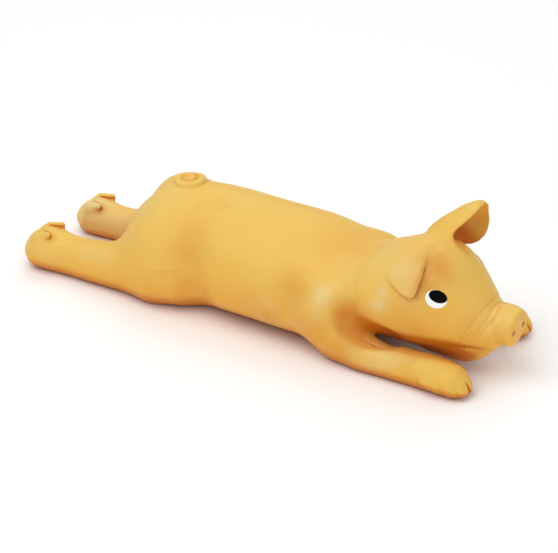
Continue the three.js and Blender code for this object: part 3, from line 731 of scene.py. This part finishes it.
def net(field, low, high, step):
    """Points and quads of the surface where a field is zero, on a grid over a box."""
    axes = [np.arange(a, b + step, step) for a, b in zip(low, high)]
    size = [len(a) for a in axes]
    value = sampled(field, axes, BAND * step)
    inside = value < 0
    corners = [(i, j, k) for i in (0, 1) for j in (0, 1) for k in (0, 1)]

    def corner(array, c):
        return array[tuple(slice(s, n - 1 + s) for s, n in zip(c, size))]

    count = sum(corner(inside, c).astype(np.int8) for c in corners)
    cells = np.argwhere((count > 0) & (count < 8))
    number = np.full([n - 1 for n in size], -1)
    number[tuple(cells.T)] = np.arange(len(cells))
    total, hits = np.zeros((len(cells), 3)), np.zeros(len(cells))
    for a in corners:
        for b in corners:
            if sum(b) != sum(a) + 1 or any(q < p for p, q in zip(a, b)):
                continue
            fa = corner(value, a)[tuple(cells.T)]
            fb = corner(value, b)[tuple(cells.T)]
            cross = (fa < 0) != (fb < 0)
            t = np.where(cross, fa / np.where(cross, fa - fb, 1), 0)
            place = np.array(a) + t[:, None] * (np.array(b) - np.array(a))
            total += place * cross[:, None]
            hits += cross
    verts = np.array(low) + (cells + total / hits[:, None]) * step
    quads = []
    for order in ((0, 1, 2), (1, 2, 0), (2, 0, 1)):
        turned, ids = inside.transpose(order), number.transpose(order)
        here, there = turned[:-1, 1:-1, 1:-1], turned[1:, 1:-1, 1:-1]
        ring = np.stack(
            (ids[:, :-1, :-1], ids[:, 1:, :-1], ids[:, 1:, 1:], ids[:, :-1, 1:]), -1)
        quads.append(ring[here & ~there])
        quads.append(ring[~here & there][:, ::-1])
    return verts, np.concatenate(quads)


def slope_of(field, points, reach=0.04):
    """A field's gradient."""
    ways = np.array(((1, 1, 1), (1, -1, -1), (-1, 1, -1), (-1, -1, 1)))
    return sum(way * field(points + reach * way)[:, None] for way in ways) / (4 * reach)


def settle(field, points, rounds=2, stride=0.5):
    """Moves points onto the surface where a field is zero."""
    for _ in range(rounds):
        slope = slope_of(field, points)
        length = np.maximum((slope ** 2).sum(1), LEAST)
        points = points - np.clip(field(points) / length, -stride, stride)[:, None] * slope
    return points


def middles(faces):
    """The middle of each face."""
    return np.array([f.calc_center_median() for f in faces])


def cut_mesh(mesh, cuts):
    """Cuts a bmesh by planes. Each cut is a point, a normal, a region and the side to keep."""
    for point, normal, region, keep_beyond in cuts:
        point, normal = np.array(point), np.array(normal)
        faces = list(mesh.faces)
        faces = [f for f, near in zip(faces, region(middles(faces))) if near]
        chosen = faces + list({e for f in faces for e in f.edges})
        chosen += list({v for f in faces for v in f.verts})
        bmesh.ops.bisect_plane(
            mesh, geom=chosen, dist=1e-5, plane_co=Vector(point), plane_no=Vector(normal))
        faces = list(mesh.faces)
        at = middles(faces)
        beyond = ((at - point) @ normal > 0) & region(at)
        gone = [f for f, out in zip(faces, beyond != keep_beyond) if out]
        bmesh.ops.delete(mesh, geom=gone, context="FACES")


def keep_largest(mesh):
    """Deletes all but the largest connected part of a bmesh."""
    left, groups = set(mesh.faces), []
    while left:
        start = left.pop()
        group, edge = {start}, [start]
        while edge:
            face = edge.pop()
            for side in face.edges:
                for other in side.link_faces:
                    if other in left:
                        left.discard(other)
                        group.add(other)
                        edge.append(other)
        groups.append(group)
    best = max(groups, key=len)
    gone = [f for g in groups if g is not best for f in g]
    bmesh.ops.delete(mesh, geom=gone, context="FACES")


def new_piece(name, verts, faces, material):
    """A mesh object of points in millimetres, smooth shaded."""
    mesh = bpy.data.meshes.new(name)
    mesh.from_pydata([tuple(v * MM) for v in verts], [], [tuple(f) for f in faces])
    mesh.polygons.foreach_set("use_smooth", [True] * len(mesh.polygons))
    mesh.materials.append(material)
    made = bpy.data.objects.new(name, mesh)
    bpy.context.scene.collection.objects.link(made)
    return made


def skin_piece(name, box, step, cuts):
    """One piece of skin, cut from the whole and closed, with the painted shade of its folds marked.
    """
    verts, quads = net(skin_field, *box, step)
    verts = settle(skin_field, verts)
    mesh = bmesh.new()
    points = [mesh.verts.new(v) for v in verts]
    for quad in quads:
        mesh.faces.new([points[i] for i in quad])
    cut_mesh(mesh, cuts)
    keep_largest(mesh)
    rim = [e for e in mesh.edges if e.is_boundary]
    caps = bmesh.ops.holes_fill(mesh, edges=rim, sides=0)["faces"]
    mesh.verts.index_update()
    mesh.faces.index_update()
    capped = {f.index for f in caps}
    places = np.array([v.co for v in mesh.verts])
    faces = [[v.index for v in f.verts] for f in mesh.faces]
    mesh.free()
    made = new_piece(name, places, faces, latex_material())
    slope = slope_of(skin_field, places)
    normal = slope / np.linalg.norm(slope, axis=1)[:, None]
    shade(made.data, normal, capped)
    mark_skin(made.data, places, normal)
    return made


def shade(data, normal, capped):
    """Gives a mesh the skin's own normals, but flat ones where its cuts are closed."""
    loops = np.zeros((len(data.loops), 3))
    for face in data.polygons:
        for loop in face.loop_indices:
            flat = face.index in capped
            loops[loop] = face.normal if flat else normal[data.loops[loop].vertex_index]
    data.normals_split_custom_set(loops.tolist())


def mark_skin(data, places, normal):
    """Marks painted shade in folds, bloom and painted highlights, stains and painted shade on a
    piece of skin, for its material.
    """
    # Painted shade: darker where other skin or the floor lies close outside the surface
    fold = np.zeros(len(places))
    for reach in PAINTED_SHADE_REACH:
        away = places + normal * reach
        beside = np.clip(1 - skin_field(away) / reach, 0, 1)
        below = np.clip(1 - away[:, 2] / reach, 0, 1)
        fold += np.maximum(beside, FLOOR_SHADE_SHARE * below) / len(PAINTED_SHADE_REACH)
    mark(data, "fold", fold)
    # Bloom, partly painted highlights on the right ear and the hind legs
    mark(data, "bloom_and_highlight", marks_at(places, BLOOM_AND_HIGHLIGHT))
    # Stains, partly painted shade, with painted shade along the snout's wrinkles
    stain_and_shade = np.maximum(marks_at(places, STAINS_AND_SHADE), WRINKLE_SHADE * wrinkles_at(places))
    mark(data, "stain_and_shade", stain_and_shade)


def marks_at(points, marks):
    """How strongly each point is marked."""
    made = np.zeros(len(points))
    for x, y, z, radius, strength in marks:
        apart = np.linalg.norm(points - np.array((x, y, z)), axis=1) / radius
        made = np.maximum(made, strength * np.exp(-apart ** 2))
    return made


def mark(data, name, values):
    """Stores a number per point for the material."""
    layer = data.attributes.new(name, "FLOAT", "POINT")
    layer.data.foreach_set("value", values.astype(np.float32))


# Materials

def node(tree, kind, inputs=None, **settings):
    """A new node with its settings and input values."""
    made = tree.nodes.new(kind)
    for name, value in settings.items():
        setattr(made, name, value)
    for name, value in (inputs or {}).items():
        if isinstance(value, bpy.types.NodeSocket):
            tree.links.new(value, made.inputs[name])
        else:
            made.inputs[name].default_value = value
    return made


def new_material(name):
    """A material with a plain Principled shader, its tree and that shader."""
    made = bpy.data.materials.new(name)
    made.use_nodes = True
    shader = made.node_tree.nodes["Principled BSDF"]
    return made, made.node_tree, shader


def set_inputs(shader, values):
    """Sets a shader's plain inputs by name."""
    for name, value in values.items():
        shader.inputs[name].default_value = value


def rgba(colour):
    """A colour with full alpha."""
    return (*colour, 1)


def latex_group():
    """Colour, roughness and normal of moulded latex, from its marks, folds and facing, with painted
    light and shade.
    """
    group = bpy.data.node_groups.new("Latex skin", "ShaderNodeTree")
    face = group.interface
    for name in ("Latex", "Pale", "Deep", "Bloom_and_highlight"):
        face.new_socket(name, in_out="INPUT", socket_type="NodeSocketColor")
    face.new_socket("Colour", in_out="OUTPUT", socket_type="NodeSocketColor")
    face.new_socket("Roughness", in_out="OUTPUT", socket_type="NodeSocketFloat")
    face.new_socket("Normal", in_out="OUTPUT", socket_type="NodeSocketVector")
    given = group.nodes.new("NodeGroupInput").outputs
    place = node(group, "ShaderNodeTexCoord").outputs["Object"]

    def noise(name):
        scale, detail, rough = LATEX_NOISE[name]
        return node(group, "ShaderNodeTexNoise", {
            "Vector": place, "Scale": scale, "Detail": detail, "Roughness": rough,
        }).outputs["Fac"]

    def spread(value, name):
        low, high, start, end = LATEX_SPREAD[name]
        return node(group, "ShaderNodeMapRange", {
            "Value": value, "From Min": low, "From Max": high, "To Min": start, "To Max": end,
        }, interpolation_type="SMOOTHSTEP").outputs["Result"]

    def mixed(share, a, b):
        made = node(group, "ShaderNodeMix", data_type="RGBA")
        for socket, value in ((0, share), (6, a), (7, b)):
            group.links.new(value, made.inputs[socket])
        return made.outputs[2]

    def times(a, b):
        made = node(group, "ShaderNodeMath", operation="MULTIPLY")
        for socket, value in zip(made.inputs, (a, b)):
            group.links.new(value, socket)
        return made.outputs[0]

    def marked(name):
        return node(group, "ShaderNodeAttribute", attribute_name=name).outputs["Fac"]

    facing = node(group, "ShaderNodeSeparateXYZ", {
        "Vector": node(group, "ShaderNodeNewGeometry").outputs["Normal"],
    }).outputs["Z"]
    # Painted light: paler where it faces up, as if lit from above
    cloud = noise("cloud")
    pale = times(spread(facing, "upward"), spread(cloud, "clouded"))
    colour = mixed(pale, given["Latex"], given["Pale"])
    # Whitish in random patches, and in bloom marks that are partly painted highlights
    colour = mixed(spread(noise("patch"), "patch"), colour, given["Bloom_and_highlight"])
    bloom_and_highlight = times(marked("bloom_and_highlight"), spread(cloud, "bloom_and_highlight"))
    colour = mixed(bloom_and_highlight, colour, given["Bloom_and_highlight"])
    # Orange in stains, partly painted shade in creases, under the head and by the ears
    stain_and_shade = times(marked("stain_and_shade"), spread(noise("stain_and_shade"), "stain_and_shade"))
    colour = mixed(stain_and_shade, colour, given["Deep"])
    colour = mixed(spread(noise("mottle"), "mottle"), colour, given["Deep"])
    # Painted shade: deep orange in folds and near the floor, stronger where the skin faces sideways
    # or down
    hollow_shade = times(spread(marked("fold"), "fold"), spread(facing, "shaded"))
    colour = mixed(hollow_shade, colour, given["Deep"])
    rough = spread(noise("gloss"), "gloss")
    grain = node(group, "ShaderNodeBump", {
        "Strength": 0.25, "Distance": 0.0002, "Height": noise("grain"),
    })
    swell = node(group, "ShaderNodeBump", {
        "Strength": 0.35, "Distance": 0.0012, "Height": noise("swell"),
        "Normal": grain.outputs["Normal"],
    })
    end = group.nodes.new("NodeGroupOutput")
    group.links.new(colour, end.inputs["Colour"])
    group.links.new(rough, end.inputs["Roughness"])
    group.links.new(swell.outputs["Normal"], end.inputs["Normal"])
    return group


def latex_material():
    """The pig's skin."""
    found = bpy.data.materials.get("moulded_latex")
    if found:
        return found
    made, tree, shader = new_material("moulded_latex")
    skin = node(tree, "ShaderNodeGroup", node_tree=latex_group())
    for name in ("Latex", "Pale", "Deep", "Bloom_and_highlight"):
        skin.inputs[name].default_value = rgba(getattr(colours(), name.lower()))
    tree.links.new(skin.outputs["Colour"], shader.inputs["Base Color"])
    tree.links.new(skin.outputs["Roughness"], shader.inputs["Roughness"])
    tree.links.new(skin.outputs["Normal"], shader.inputs["Normal"])
    set_inputs(shader, LATEX_GLOW)
    return made


def grain_group():
    """Uneven gloss and fine grain, shared by paints and plastics."""
    found = bpy.data.node_groups.get("Fine grain")
    if found:
        return found
    group = bpy.data.node_groups.new("Fine grain", "ShaderNodeTree")
    face = group.interface
    for name in ("Smoothest", "Roughest"):
        face.new_socket(name, in_out="INPUT", socket_type="NodeSocketFloat")
    face.new_socket("Roughness", in_out="OUTPUT", socket_type="NodeSocketFloat")
    face.new_socket("Normal", in_out="OUTPUT", socket_type="NodeSocketVector")
    given = group.nodes.new("NodeGroupInput").outputs
    place = node(group, "ShaderNodeTexCoord").outputs["Object"]
    grain = node(group, "ShaderNodeTexNoise", {"Vector": place, "Scale": 700, "Detail": 2})
    sheen = node(group, "ShaderNodeMapRange", {
        "Value": grain.outputs["Fac"], "To Min": given["Smoothest"], "To Max": given["Roughest"]})
    bump = node(group, "ShaderNodeBump", {
        "Strength": 0.2, "Distance": 0.0001, "Height": grain.outputs["Fac"]})
    end = group.nodes.new("NodeGroupOutput")
    group.links.new(sheen.outputs["Result"], end.inputs["Roughness"])
    group.links.new(bump.outputs["Normal"], end.inputs["Normal"])
    return group


def grained_material(name, colour):
    """Brushed-on paint or plain plastic, with a slightly uneven gloss."""
    made, tree, shader = new_material(name)
    rough, gloss = FINISHES[name]
    down, up = UNEVEN
    grain = node(
        tree, "ShaderNodeGroup", {"Smoothest": rough - down, "Roughest": rough + up},
        node_tree=grain_group())
    tree.links.new(grain.outputs["Roughness"], shader.inputs["Roughness"])
    tree.links.new(grain.outputs["Normal"], shader.inputs["Normal"])
    shader.inputs["Base Color"].default_value = rgba(colour)
    shader.inputs["Specular IOR Level"].default_value = gloss
    return made


def fibre_material():
    """Loose white filling."""
    made, tree, shader = new_material("fibre")
    place = node(tree, "ShaderNodeTexCoord").outputs["Object"]
    tangle = node(tree, "ShaderNodeTexNoise", {
        "Vector": place, "Scale": 260, "Detail": 6, "Roughness": 0.7})
    bump = node(tree, "ShaderNodeBump", {
        "Strength": 0.8, "Distance": 0.001, "Height": tangle.outputs["Fac"]})
    tree.links.new(bump.outputs["Normal"], shader.inputs["Normal"])
    shader.inputs["Base Color"].default_value = rgba(colours().fibre)
    shader.inputs["Roughness"].default_value = 0.95
    return made


# Pieces

def joint_cut(name, keep_beyond):
    """The cut across a leg or the neck, at its joint."""
    if name == "head":
        lean = math.radians(NECK_LEAN)

        def region(p):
            legs = np.minimum(leg_field(p, "fore_leg_left"), leg_field(p, "fore_leg_right"))
            return (p[:, 0] > NECK_REAR) & (head_field(p) < legs)

        return pivot("head_nod"), (math.cos(lean), 0, math.sin(lean)), region, keep_beyond
    side = math.copysign(1, LEGS[name]["y"])
    point = pivot(f"{name}_swing")
    fore = name.startswith("fore")
    normal = np.array((1, 0, 0) if fore else (HIND_CUT[0], HIND_CUT[1] * side, 0))
    normal = normal / np.linalg.norm(normal)

    def region(p):
        leg = leg_field(p, name)
        near = (leg < LEG_CUT["near"]) & ((p - point) @ normal > -LEG_CUT["behind"])
        return near & (leg < head_field(p)) if fore else near

    return point + normal * (FORE_FREE if fore else 0), normal, region, keep_beyond


def ear_cut(name, keep_beyond):
    """The cut across an ear, where it stands free of the head."""
    root, along, front, _ = ear_frame(name)
    over, across = EARS[name]["cut"]
    normal = along * over + front * across
    normal = normal / np.linalg.norm(normal)
    point = root + along * EARS[name]["free"]
    return point, normal, lambda p: ear_field(p, name) < EAR_CUT, keep_beyond


def bend_over(piece, cut):
    """Bakes a piece's placement into its mesh; the cut it is given is not used."""
    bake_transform(piece)


class PIG_OT_body(bpy.types.Operator):
    """Makes the body's skin with tail, haunches and shoulders"""

    bl_idname = "pig.body"
    bl_label = "Body skin"

    def execute(self, context):
        cuts = [joint_cut(name, False) for name in (*LEGS, "head")]
        made = skin_piece("body_latex", BODY_ROOM, shape().body_step / MM, cuts)
        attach(made, "body")
        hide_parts("body_skin", "tail")
        return {"FINISHED"}


class PIG_OT_legs(bpy.types.Operator):
    """Makes the four legs, each cut at its root"""

    bl_idname = "pig.legs"
    bl_label = "Legs"

    def execute(self, context):
        for name, leg in LEGS.items():
            start, tip = sorted((pivot(f"{name}_swing")[0], leg["run"][1]))
            y = leg["y"] + math.copysign(leg["splay"] / 2, leg["y"])
            ends, side = LEG_ROOM["ends"], LEG_ROOM["side"]
            box = (
                (start - ends, y - side, LEG_ROOM["foot"]),
                (tip + ends, y + side, LEG_ROOM["top"]))
            cut = joint_cut(name, True)
            made = skin_piece(f"{name}_latex", box, shape().body_step / MM, [cut])
            bend_over(made, cut)
            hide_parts(name)
        return {"FINISHED"}


class PIG_OT_head(bpy.types.Operator):
    """Makes the head's skin with jaw and snout, cut at the neck"""

    bl_idname = "pig.head"
    bl_label = "Head skin"

    def execute(self, context):
        cuts = [joint_cut("head", True)]
        cuts += [ear_cut(name, False) for name in EARS]
        made = skin_piece("head_latex", HEAD_ROOM, shape().head_step / MM, cuts)
        bend_over(made, joint_cut("head", True))
        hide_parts("head_skin")
        return {"FINISHED"}


class PIG_OT_ears(bpy.types.Operator):
    """Makes both ears, each cut at its root"""

    bl_idname = "pig.ears"
    bl_label = "Ears"

    def execute(self, context):
        for name in EARS:
            root, along, _, length = ear_frame(name)
            ends = np.stack((root, root + along * length))
            box = (ends.min(0) - EAR_ROOM, ends.max(0) + EAR_ROOM)
            cut = ear_cut(name, True)
            made = skin_piece(f"{name}_latex", box, shape().head_step / MM, [cut])
            bend_over(made, cut)
            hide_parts(name)
        return {"FINISHED"}


def on_skin(points, way, rounds=12, stride=2):
    """Slides points along a direction until they lie on the skin."""
    for _ in range(rounds):
        slope = slope_of(skin_field, points) @ way
        move = np.clip(skin_field(points) / slope, -stride, stride)
        points = points - move[:, None] * way
    return points


def eye_frame(side):
    """An eye's place on the skin, its long and short direction and the skin's normal."""
    place = np.array(((EYE["x"], side * EYE["from"], EYE["z"]),))
    place = on_skin(place, np.array((0.0, side, 0)))
    normal = slope_of(skin_field, place)[0]
    normal = normal / np.linalg.norm(normal)
    ahead = np.cross((0, 0, 1), normal) * -side
    ahead = ahead / np.linalg.norm(ahead)
    upward = np.cross(ahead, normal) * side
    tilt = math.radians(EYE["tilt"])
    return (
        place[0], ahead * math.cos(tilt) - upward * math.sin(tilt),
        ahead * math.sin(tilt) + upward * math.cos(tilt), normal)


def paint_faces(rings, around):
    """Faces of a coat of paint: rings about a middle, then its edge and underside."""
    faces = []
    for i in range(around):
        j = (i + 1) % around
        faces.append((0, 1 + i, 1 + j))
        for ring in range(rings - 1):
            a = 1 + ring * around
            faces.append((a + i, a + around + i, a + around + j, a + j))
    last = 1 + (rings - 1) * around
    under, middle = last + around, last + 2 * around
    for i in range(around):
        j = (i + 1) % around
        faces.append((last + i, under + i, under + j, last + j))
        faces.append((under + i, middle, under + j))
    return faces


def paint_patch(name, side, shift, half, lift, material):
    """A coat of paint on the head's skin, inside an oval set off from the eye's place."""
    place, long_way, short_way, normal = eye_frame(side)
    rings, around = PAINT["rings"], PAINT["around"]
    points, height = [], []
    for ring in range(rings + 1):
        share = ring / rings
        for i in range(around if ring else 1):
            turn = 2 * math.pi * i / around
            a = shift[0] + half[0] * share * math.cos(turn)
            b = shift[1] + half[1] * share * math.sin(turn)
            points.append(place + long_way * a + short_way * b)
            dome = lift * (1 - share ** PAINT["dome"])
            height.append(dome - PAINT["edge"] * share ** PAINT["rim"])
    points = on_skin(np.array(points), normal)
    slope = slope_of(skin_field, points)
    points = points + slope / np.linalg.norm(slope, axis=1)[:, None] * np.array(height)[:, None]
    sunk = points[-around:] - PAINT["sunk"] * slope[-around:]
    deepest = sunk.mean(0, keepdims=True) - PAINT["under"] * slope[:1]
    points = np.concatenate((points, sunk, deepest))
    faces = paint_faces(rings, around)
    if np.cross(long_way, short_way) @ normal < 0:
        faces = [face[::-1] for face in faces]
    return new_piece(name, points, faces, material)


class PIG_OT_eyes(bpy.types.Operator):
    """Paints the eyes on the head"""

    bl_idname = "pig.eyes"
    bl_label = "Eyes"

    def execute(self, context):
        white = grained_material("eye_white", colours().white)
        black = grained_material("eye_black", colours().black)
        coat = shape().paint / MM
        for name, side in (("left", 1), ("right", -1)):
            ball = paint_patch(
                f"eye_white_{name}_paint", side, (0, 0), EYE["half"], coat, white)
            dot = paint_patch(
                f"pupil_{name}_paint", side, (PUPIL["ahead"], PUPIL["rise"]), PUPIL["half"],
                2 * coat, black)
            for made, part, slot in (
                    (ball, "eye_white", "eye_white"), (dot, "pupil", "eye_black")):
                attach(made, "head")
                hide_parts(f"{part}_{name}")
        return {"FINISHED"}


def fibre_nodes(material):
    """Short bent fibres standing on a wad, as a node tree."""
    tree = bpy.data.node_groups.new("Loose fibres", "GeometryNodeTree")
    face = tree.interface
    face.new_socket("Geometry", in_out="INPUT", socket_type="NodeSocketGeometry")
    count = face.new_socket("Density", in_out="INPUT", socket_type="NodeSocketFloat")
    face.new_socket("Geometry", in_out="OUTPUT", socket_type="NodeSocketGeometry")
    given = tree.nodes.new("NodeGroupInput").outputs
    spots = node(tree, "GeometryNodeDistributePointsOnFaces", {
        "Mesh": given["Geometry"], "Density": given["Density"], "Seed": FIBRE["seed"]})
    strand = node(tree, "GeometryNodeCurveArc", {
        "Resolution": 6, "Radius": FIBRE["bend"], "Sweep Angle": FIBRE["sweep"]})
    ring = node(tree, "GeometryNodeCurvePrimitiveCircle", {
        "Resolution": 3, "Radius": FIBRE["thick"]})
    tube = node(tree, "GeometryNodeCurveToMesh", {
        "Curve": strand.outputs["Curve"], "Profile Curve": ring.outputs["Curve"],
        "Fill Caps": True})
    turn = node(tree, "FunctionNodeRandomValue", data_type="FLOAT_VECTOR")
    turn.inputs[1].default_value = [FIBRE["turn"]] * 3
    placed = node(tree, "GeometryNodeInstanceOnPoints", {
        "Points": spots.outputs["Points"], "Instance": tube.outputs["Mesh"],
        "Rotation": turn.outputs[0]})
    made = node(tree, "GeometryNodeRealizeInstances", {"Geometry": placed.outputs["Instances"]})
    joined = tree.nodes.new("GeometryNodeJoinGeometry")
    tree.links.new(made.outputs["Geometry"], joined.inputs["Geometry"])
    tree.links.new(given["Geometry"], joined.inputs["Geometry"])
    dressed = node(tree, "GeometryNodeSetMaterial", {
        "Geometry": joined.outputs["Geometry"], "Material": material})
    end = tree.nodes.new("NodeGroupOutput")
    tree.links.new(dressed.outputs["Geometry"], end.inputs["Geometry"])
    return tree, count.identifier


def wad_field(points, low, high):
    """A lumpy wad of fibre, inside the skin and a box."""
    lumps = np.sin(points * WAD["waves"]).prod(1) * WAD["lump"]
    inset = np.maximum(low - points, points - high).max(1)
    return np.maximum(skin_field(points) + WAD["inset"] + lumps, inset)


class PIG_OT_filling(bpy.types.Operator):
    """Makes the wads of fibre inside body and head"""

    bl_idname = "pig.filling"
    bl_label = "Filling"

    def execute(self, context):
        material = fibre_material()
        tree, density = fibre_nodes(material)
        for name in ("body_fill", "head_fill"):
            low, high = (np.array(c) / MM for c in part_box(name))
            verts, quads = net(
                lambda p: wad_field(p, low, high), low - WAD["room"], high + WAD["room"],
                WAD["step"])
            made = new_piece(f"{name}_fibre", verts, quads, material)
            strands = made.modifiers.new("Fibres", "NODES")
            strands.node_group = tree
            strands[density] = FIBRE["density"]
            made.update_tag()
            ready = made.evaluated_get(bpy.context.evaluated_depsgraph_get())
            plain = bpy.data.meshes.new_from_object(ready)
            made.modifiers.remove(strands)
            made.data = plain
            if name == "head_fill":
                bend_over(made, joint_cut("head", True))
            else:
                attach(made, "body")
            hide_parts(name)
        return {"FINISHED"}


class PIG_OT_squeaker(bpy.types.Operator):
    """Gives the squeaker's plastic pieces their finish"""

    bl_idname = "pig.squeaker"
    bl_label = "Squeaker"

    def execute(self, context):
        plastic = grained_material("squeaker_plastic", colours().plastic)
        set_inputs(plastic.node_tree.nodes["Principled BSDF"], PLASTIC_GLOW)
        film = grained_material("reed_film", colours().film)
        for name in ("squeaker_cup", "squeaker_cap", "reed_block", "reed_wedge", "reed"):
            made = frame["nodes"][name]
            made.data.materials.clear()
            made.data.materials.append(film if name == "reed" else plastic)
        return {"FINISHED"}


def lay_floor(scene):
    """Lays a wide pale floor."""
    ground = bpy.data.meshes.new("floor")
    corners = [(-1, -1), (1, -1), (1, 1), (-1, 1)]
    corners = [(x * FLOOR_HALF, y * FLOOR_HALF, 0) for x, y in corners]
    ground.from_pydata(corners, [], [(0, 1, 2, 3)])
    floor = bpy.data.objects.new("floor", ground)
    scene.collection.objects.link(floor)
    finish, tree, shader = new_material("floor")
    place = node(tree, "ShaderNodeTexCoord").outputs["Object"]
    grain = node(tree, "ShaderNodeTexNoise", {"Vector": place, "Scale": 40})
    sheen = node(tree, "ShaderNodeMapRange", {
        "Value": grain.outputs["Fac"], "To Min": 0.7, "To Max": 0.8})
    tree.links.new(sheen.outputs["Result"], shader.inputs["Roughness"])
    shader.inputs["Base Color"].default_value = rgba(colours().floor)
    ground.materials.append(finish)


def light_stage(scene):
    """Lights the stage by a white sky and soft lamps."""
    world = bpy.data.worlds.new("studio")
    scene.world = world
    world.use_nodes = True
    sky = world.node_tree.nodes["Background"]
    sky.inputs["Color"].default_value = (1, 1, 1, 1)
    sky.inputs["Strength"].default_value = SKY
    for name, (place, size, power) in LAMPS.items():
        light = bpy.data.lights.new(name, "AREA")
        light.size = size
        light.energy = power
        lamp = bpy.data.objects.new(name, light)
        lamp.location = place
        lamp.rotation_euler = (-Vector(place)).to_track_quat("-Z", "Y").to_euler()
        scene.collection.objects.link(lamp)


def place_camera(scene):
    """Looks at the pig from where its photo was taken."""
    view = bpy.data.cameras.new("camera")
    view.lens = CAMERA["lens"]
    view.sensor_width = CAMERA["sensor"]
    camera = bpy.data.objects.new("camera", view)
    turn, lift = math.radians(CAMERA["turn"]), math.radians(CAMERA["lift"])
    back = Vector((
        math.sin(turn) * math.cos(lift), -math.cos(turn) * math.cos(lift), math.sin(lift)))
    camera.location = Vector(CAMERA["look_at"]) + back * CAMERA["away"]
    camera.rotation_euler = back.to_track_quat("Z", "Y").to_euler()
    scene.collection.objects.link(camera)
    scene.camera = camera


class PIG_OT_stage(bpy.types.Operator):
    """Makes the floor, the lights and the camera"""

    bl_idname = "pig.stage"
    bl_label = "Stage"

    def execute(self, context):
        lay_floor(context.scene)
        light_stage(context.scene)
        place_camera(context.scene)
        context.scene.view_settings.view_transform = "Standard"
        return {"FINISHED"}


class PIG_PT_build(bpy.types.Panel):
    """Sizes, colours and build steps"""

    bl_label = "Latex pig"
    bl_idname = "PIG_PT_build"
    bl_space_type = "VIEW_3D"
    bl_region_type = "UI"
    bl_category = "Latex pig"

    def draw(self, context):
        for group in (context.scene.pig_shape, context.scene.pig_colours):
            box = self.layout.box()
            for name in group.__annotations__:
                box.prop(group, name)
        for step in STEPS:
            self.layout.operator(step.bl_idname)


STEPS = (
    PIG_OT_stage, PIG_OT_body, PIG_OT_legs, PIG_OT_head, PIG_OT_ears, PIG_OT_eyes,
    PIG_OT_filling, PIG_OT_squeaker,
)
CLASSES = (PigShape, PigColours, *STEPS, PIG_PT_build)


def register():
    """Adds the classes and the scene's settings."""
    for cls in CLASSES:
        bpy.utils.register_class(cls)
    bpy.types.Scene.pig_shape = PointerProperty(type=PigShape)
    bpy.types.Scene.pig_colours = PointerProperty(type=PigColours)


def unregister():
    """Takes the classes and the scene's settings away."""
    del bpy.types.Scene.pig_shape
    del bpy.types.Scene.pig_colours
    for cls in reversed(CLASSES):
        bpy.utils.unregister_class(cls)


def main():
    """Builds the pig and its stage."""
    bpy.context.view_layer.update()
    register()
    bpy.ops.pig.stage()
    bpy.ops.pig.body()
    bpy.ops.pig.legs()
    bpy.ops.pig.head()
    bpy.ops.pig.ears()
    bpy.ops.pig.eyes()
    bpy.ops.pig.filling()
    bpy.ops.pig.squeaker()


if __name__ == "__main__":
    main()
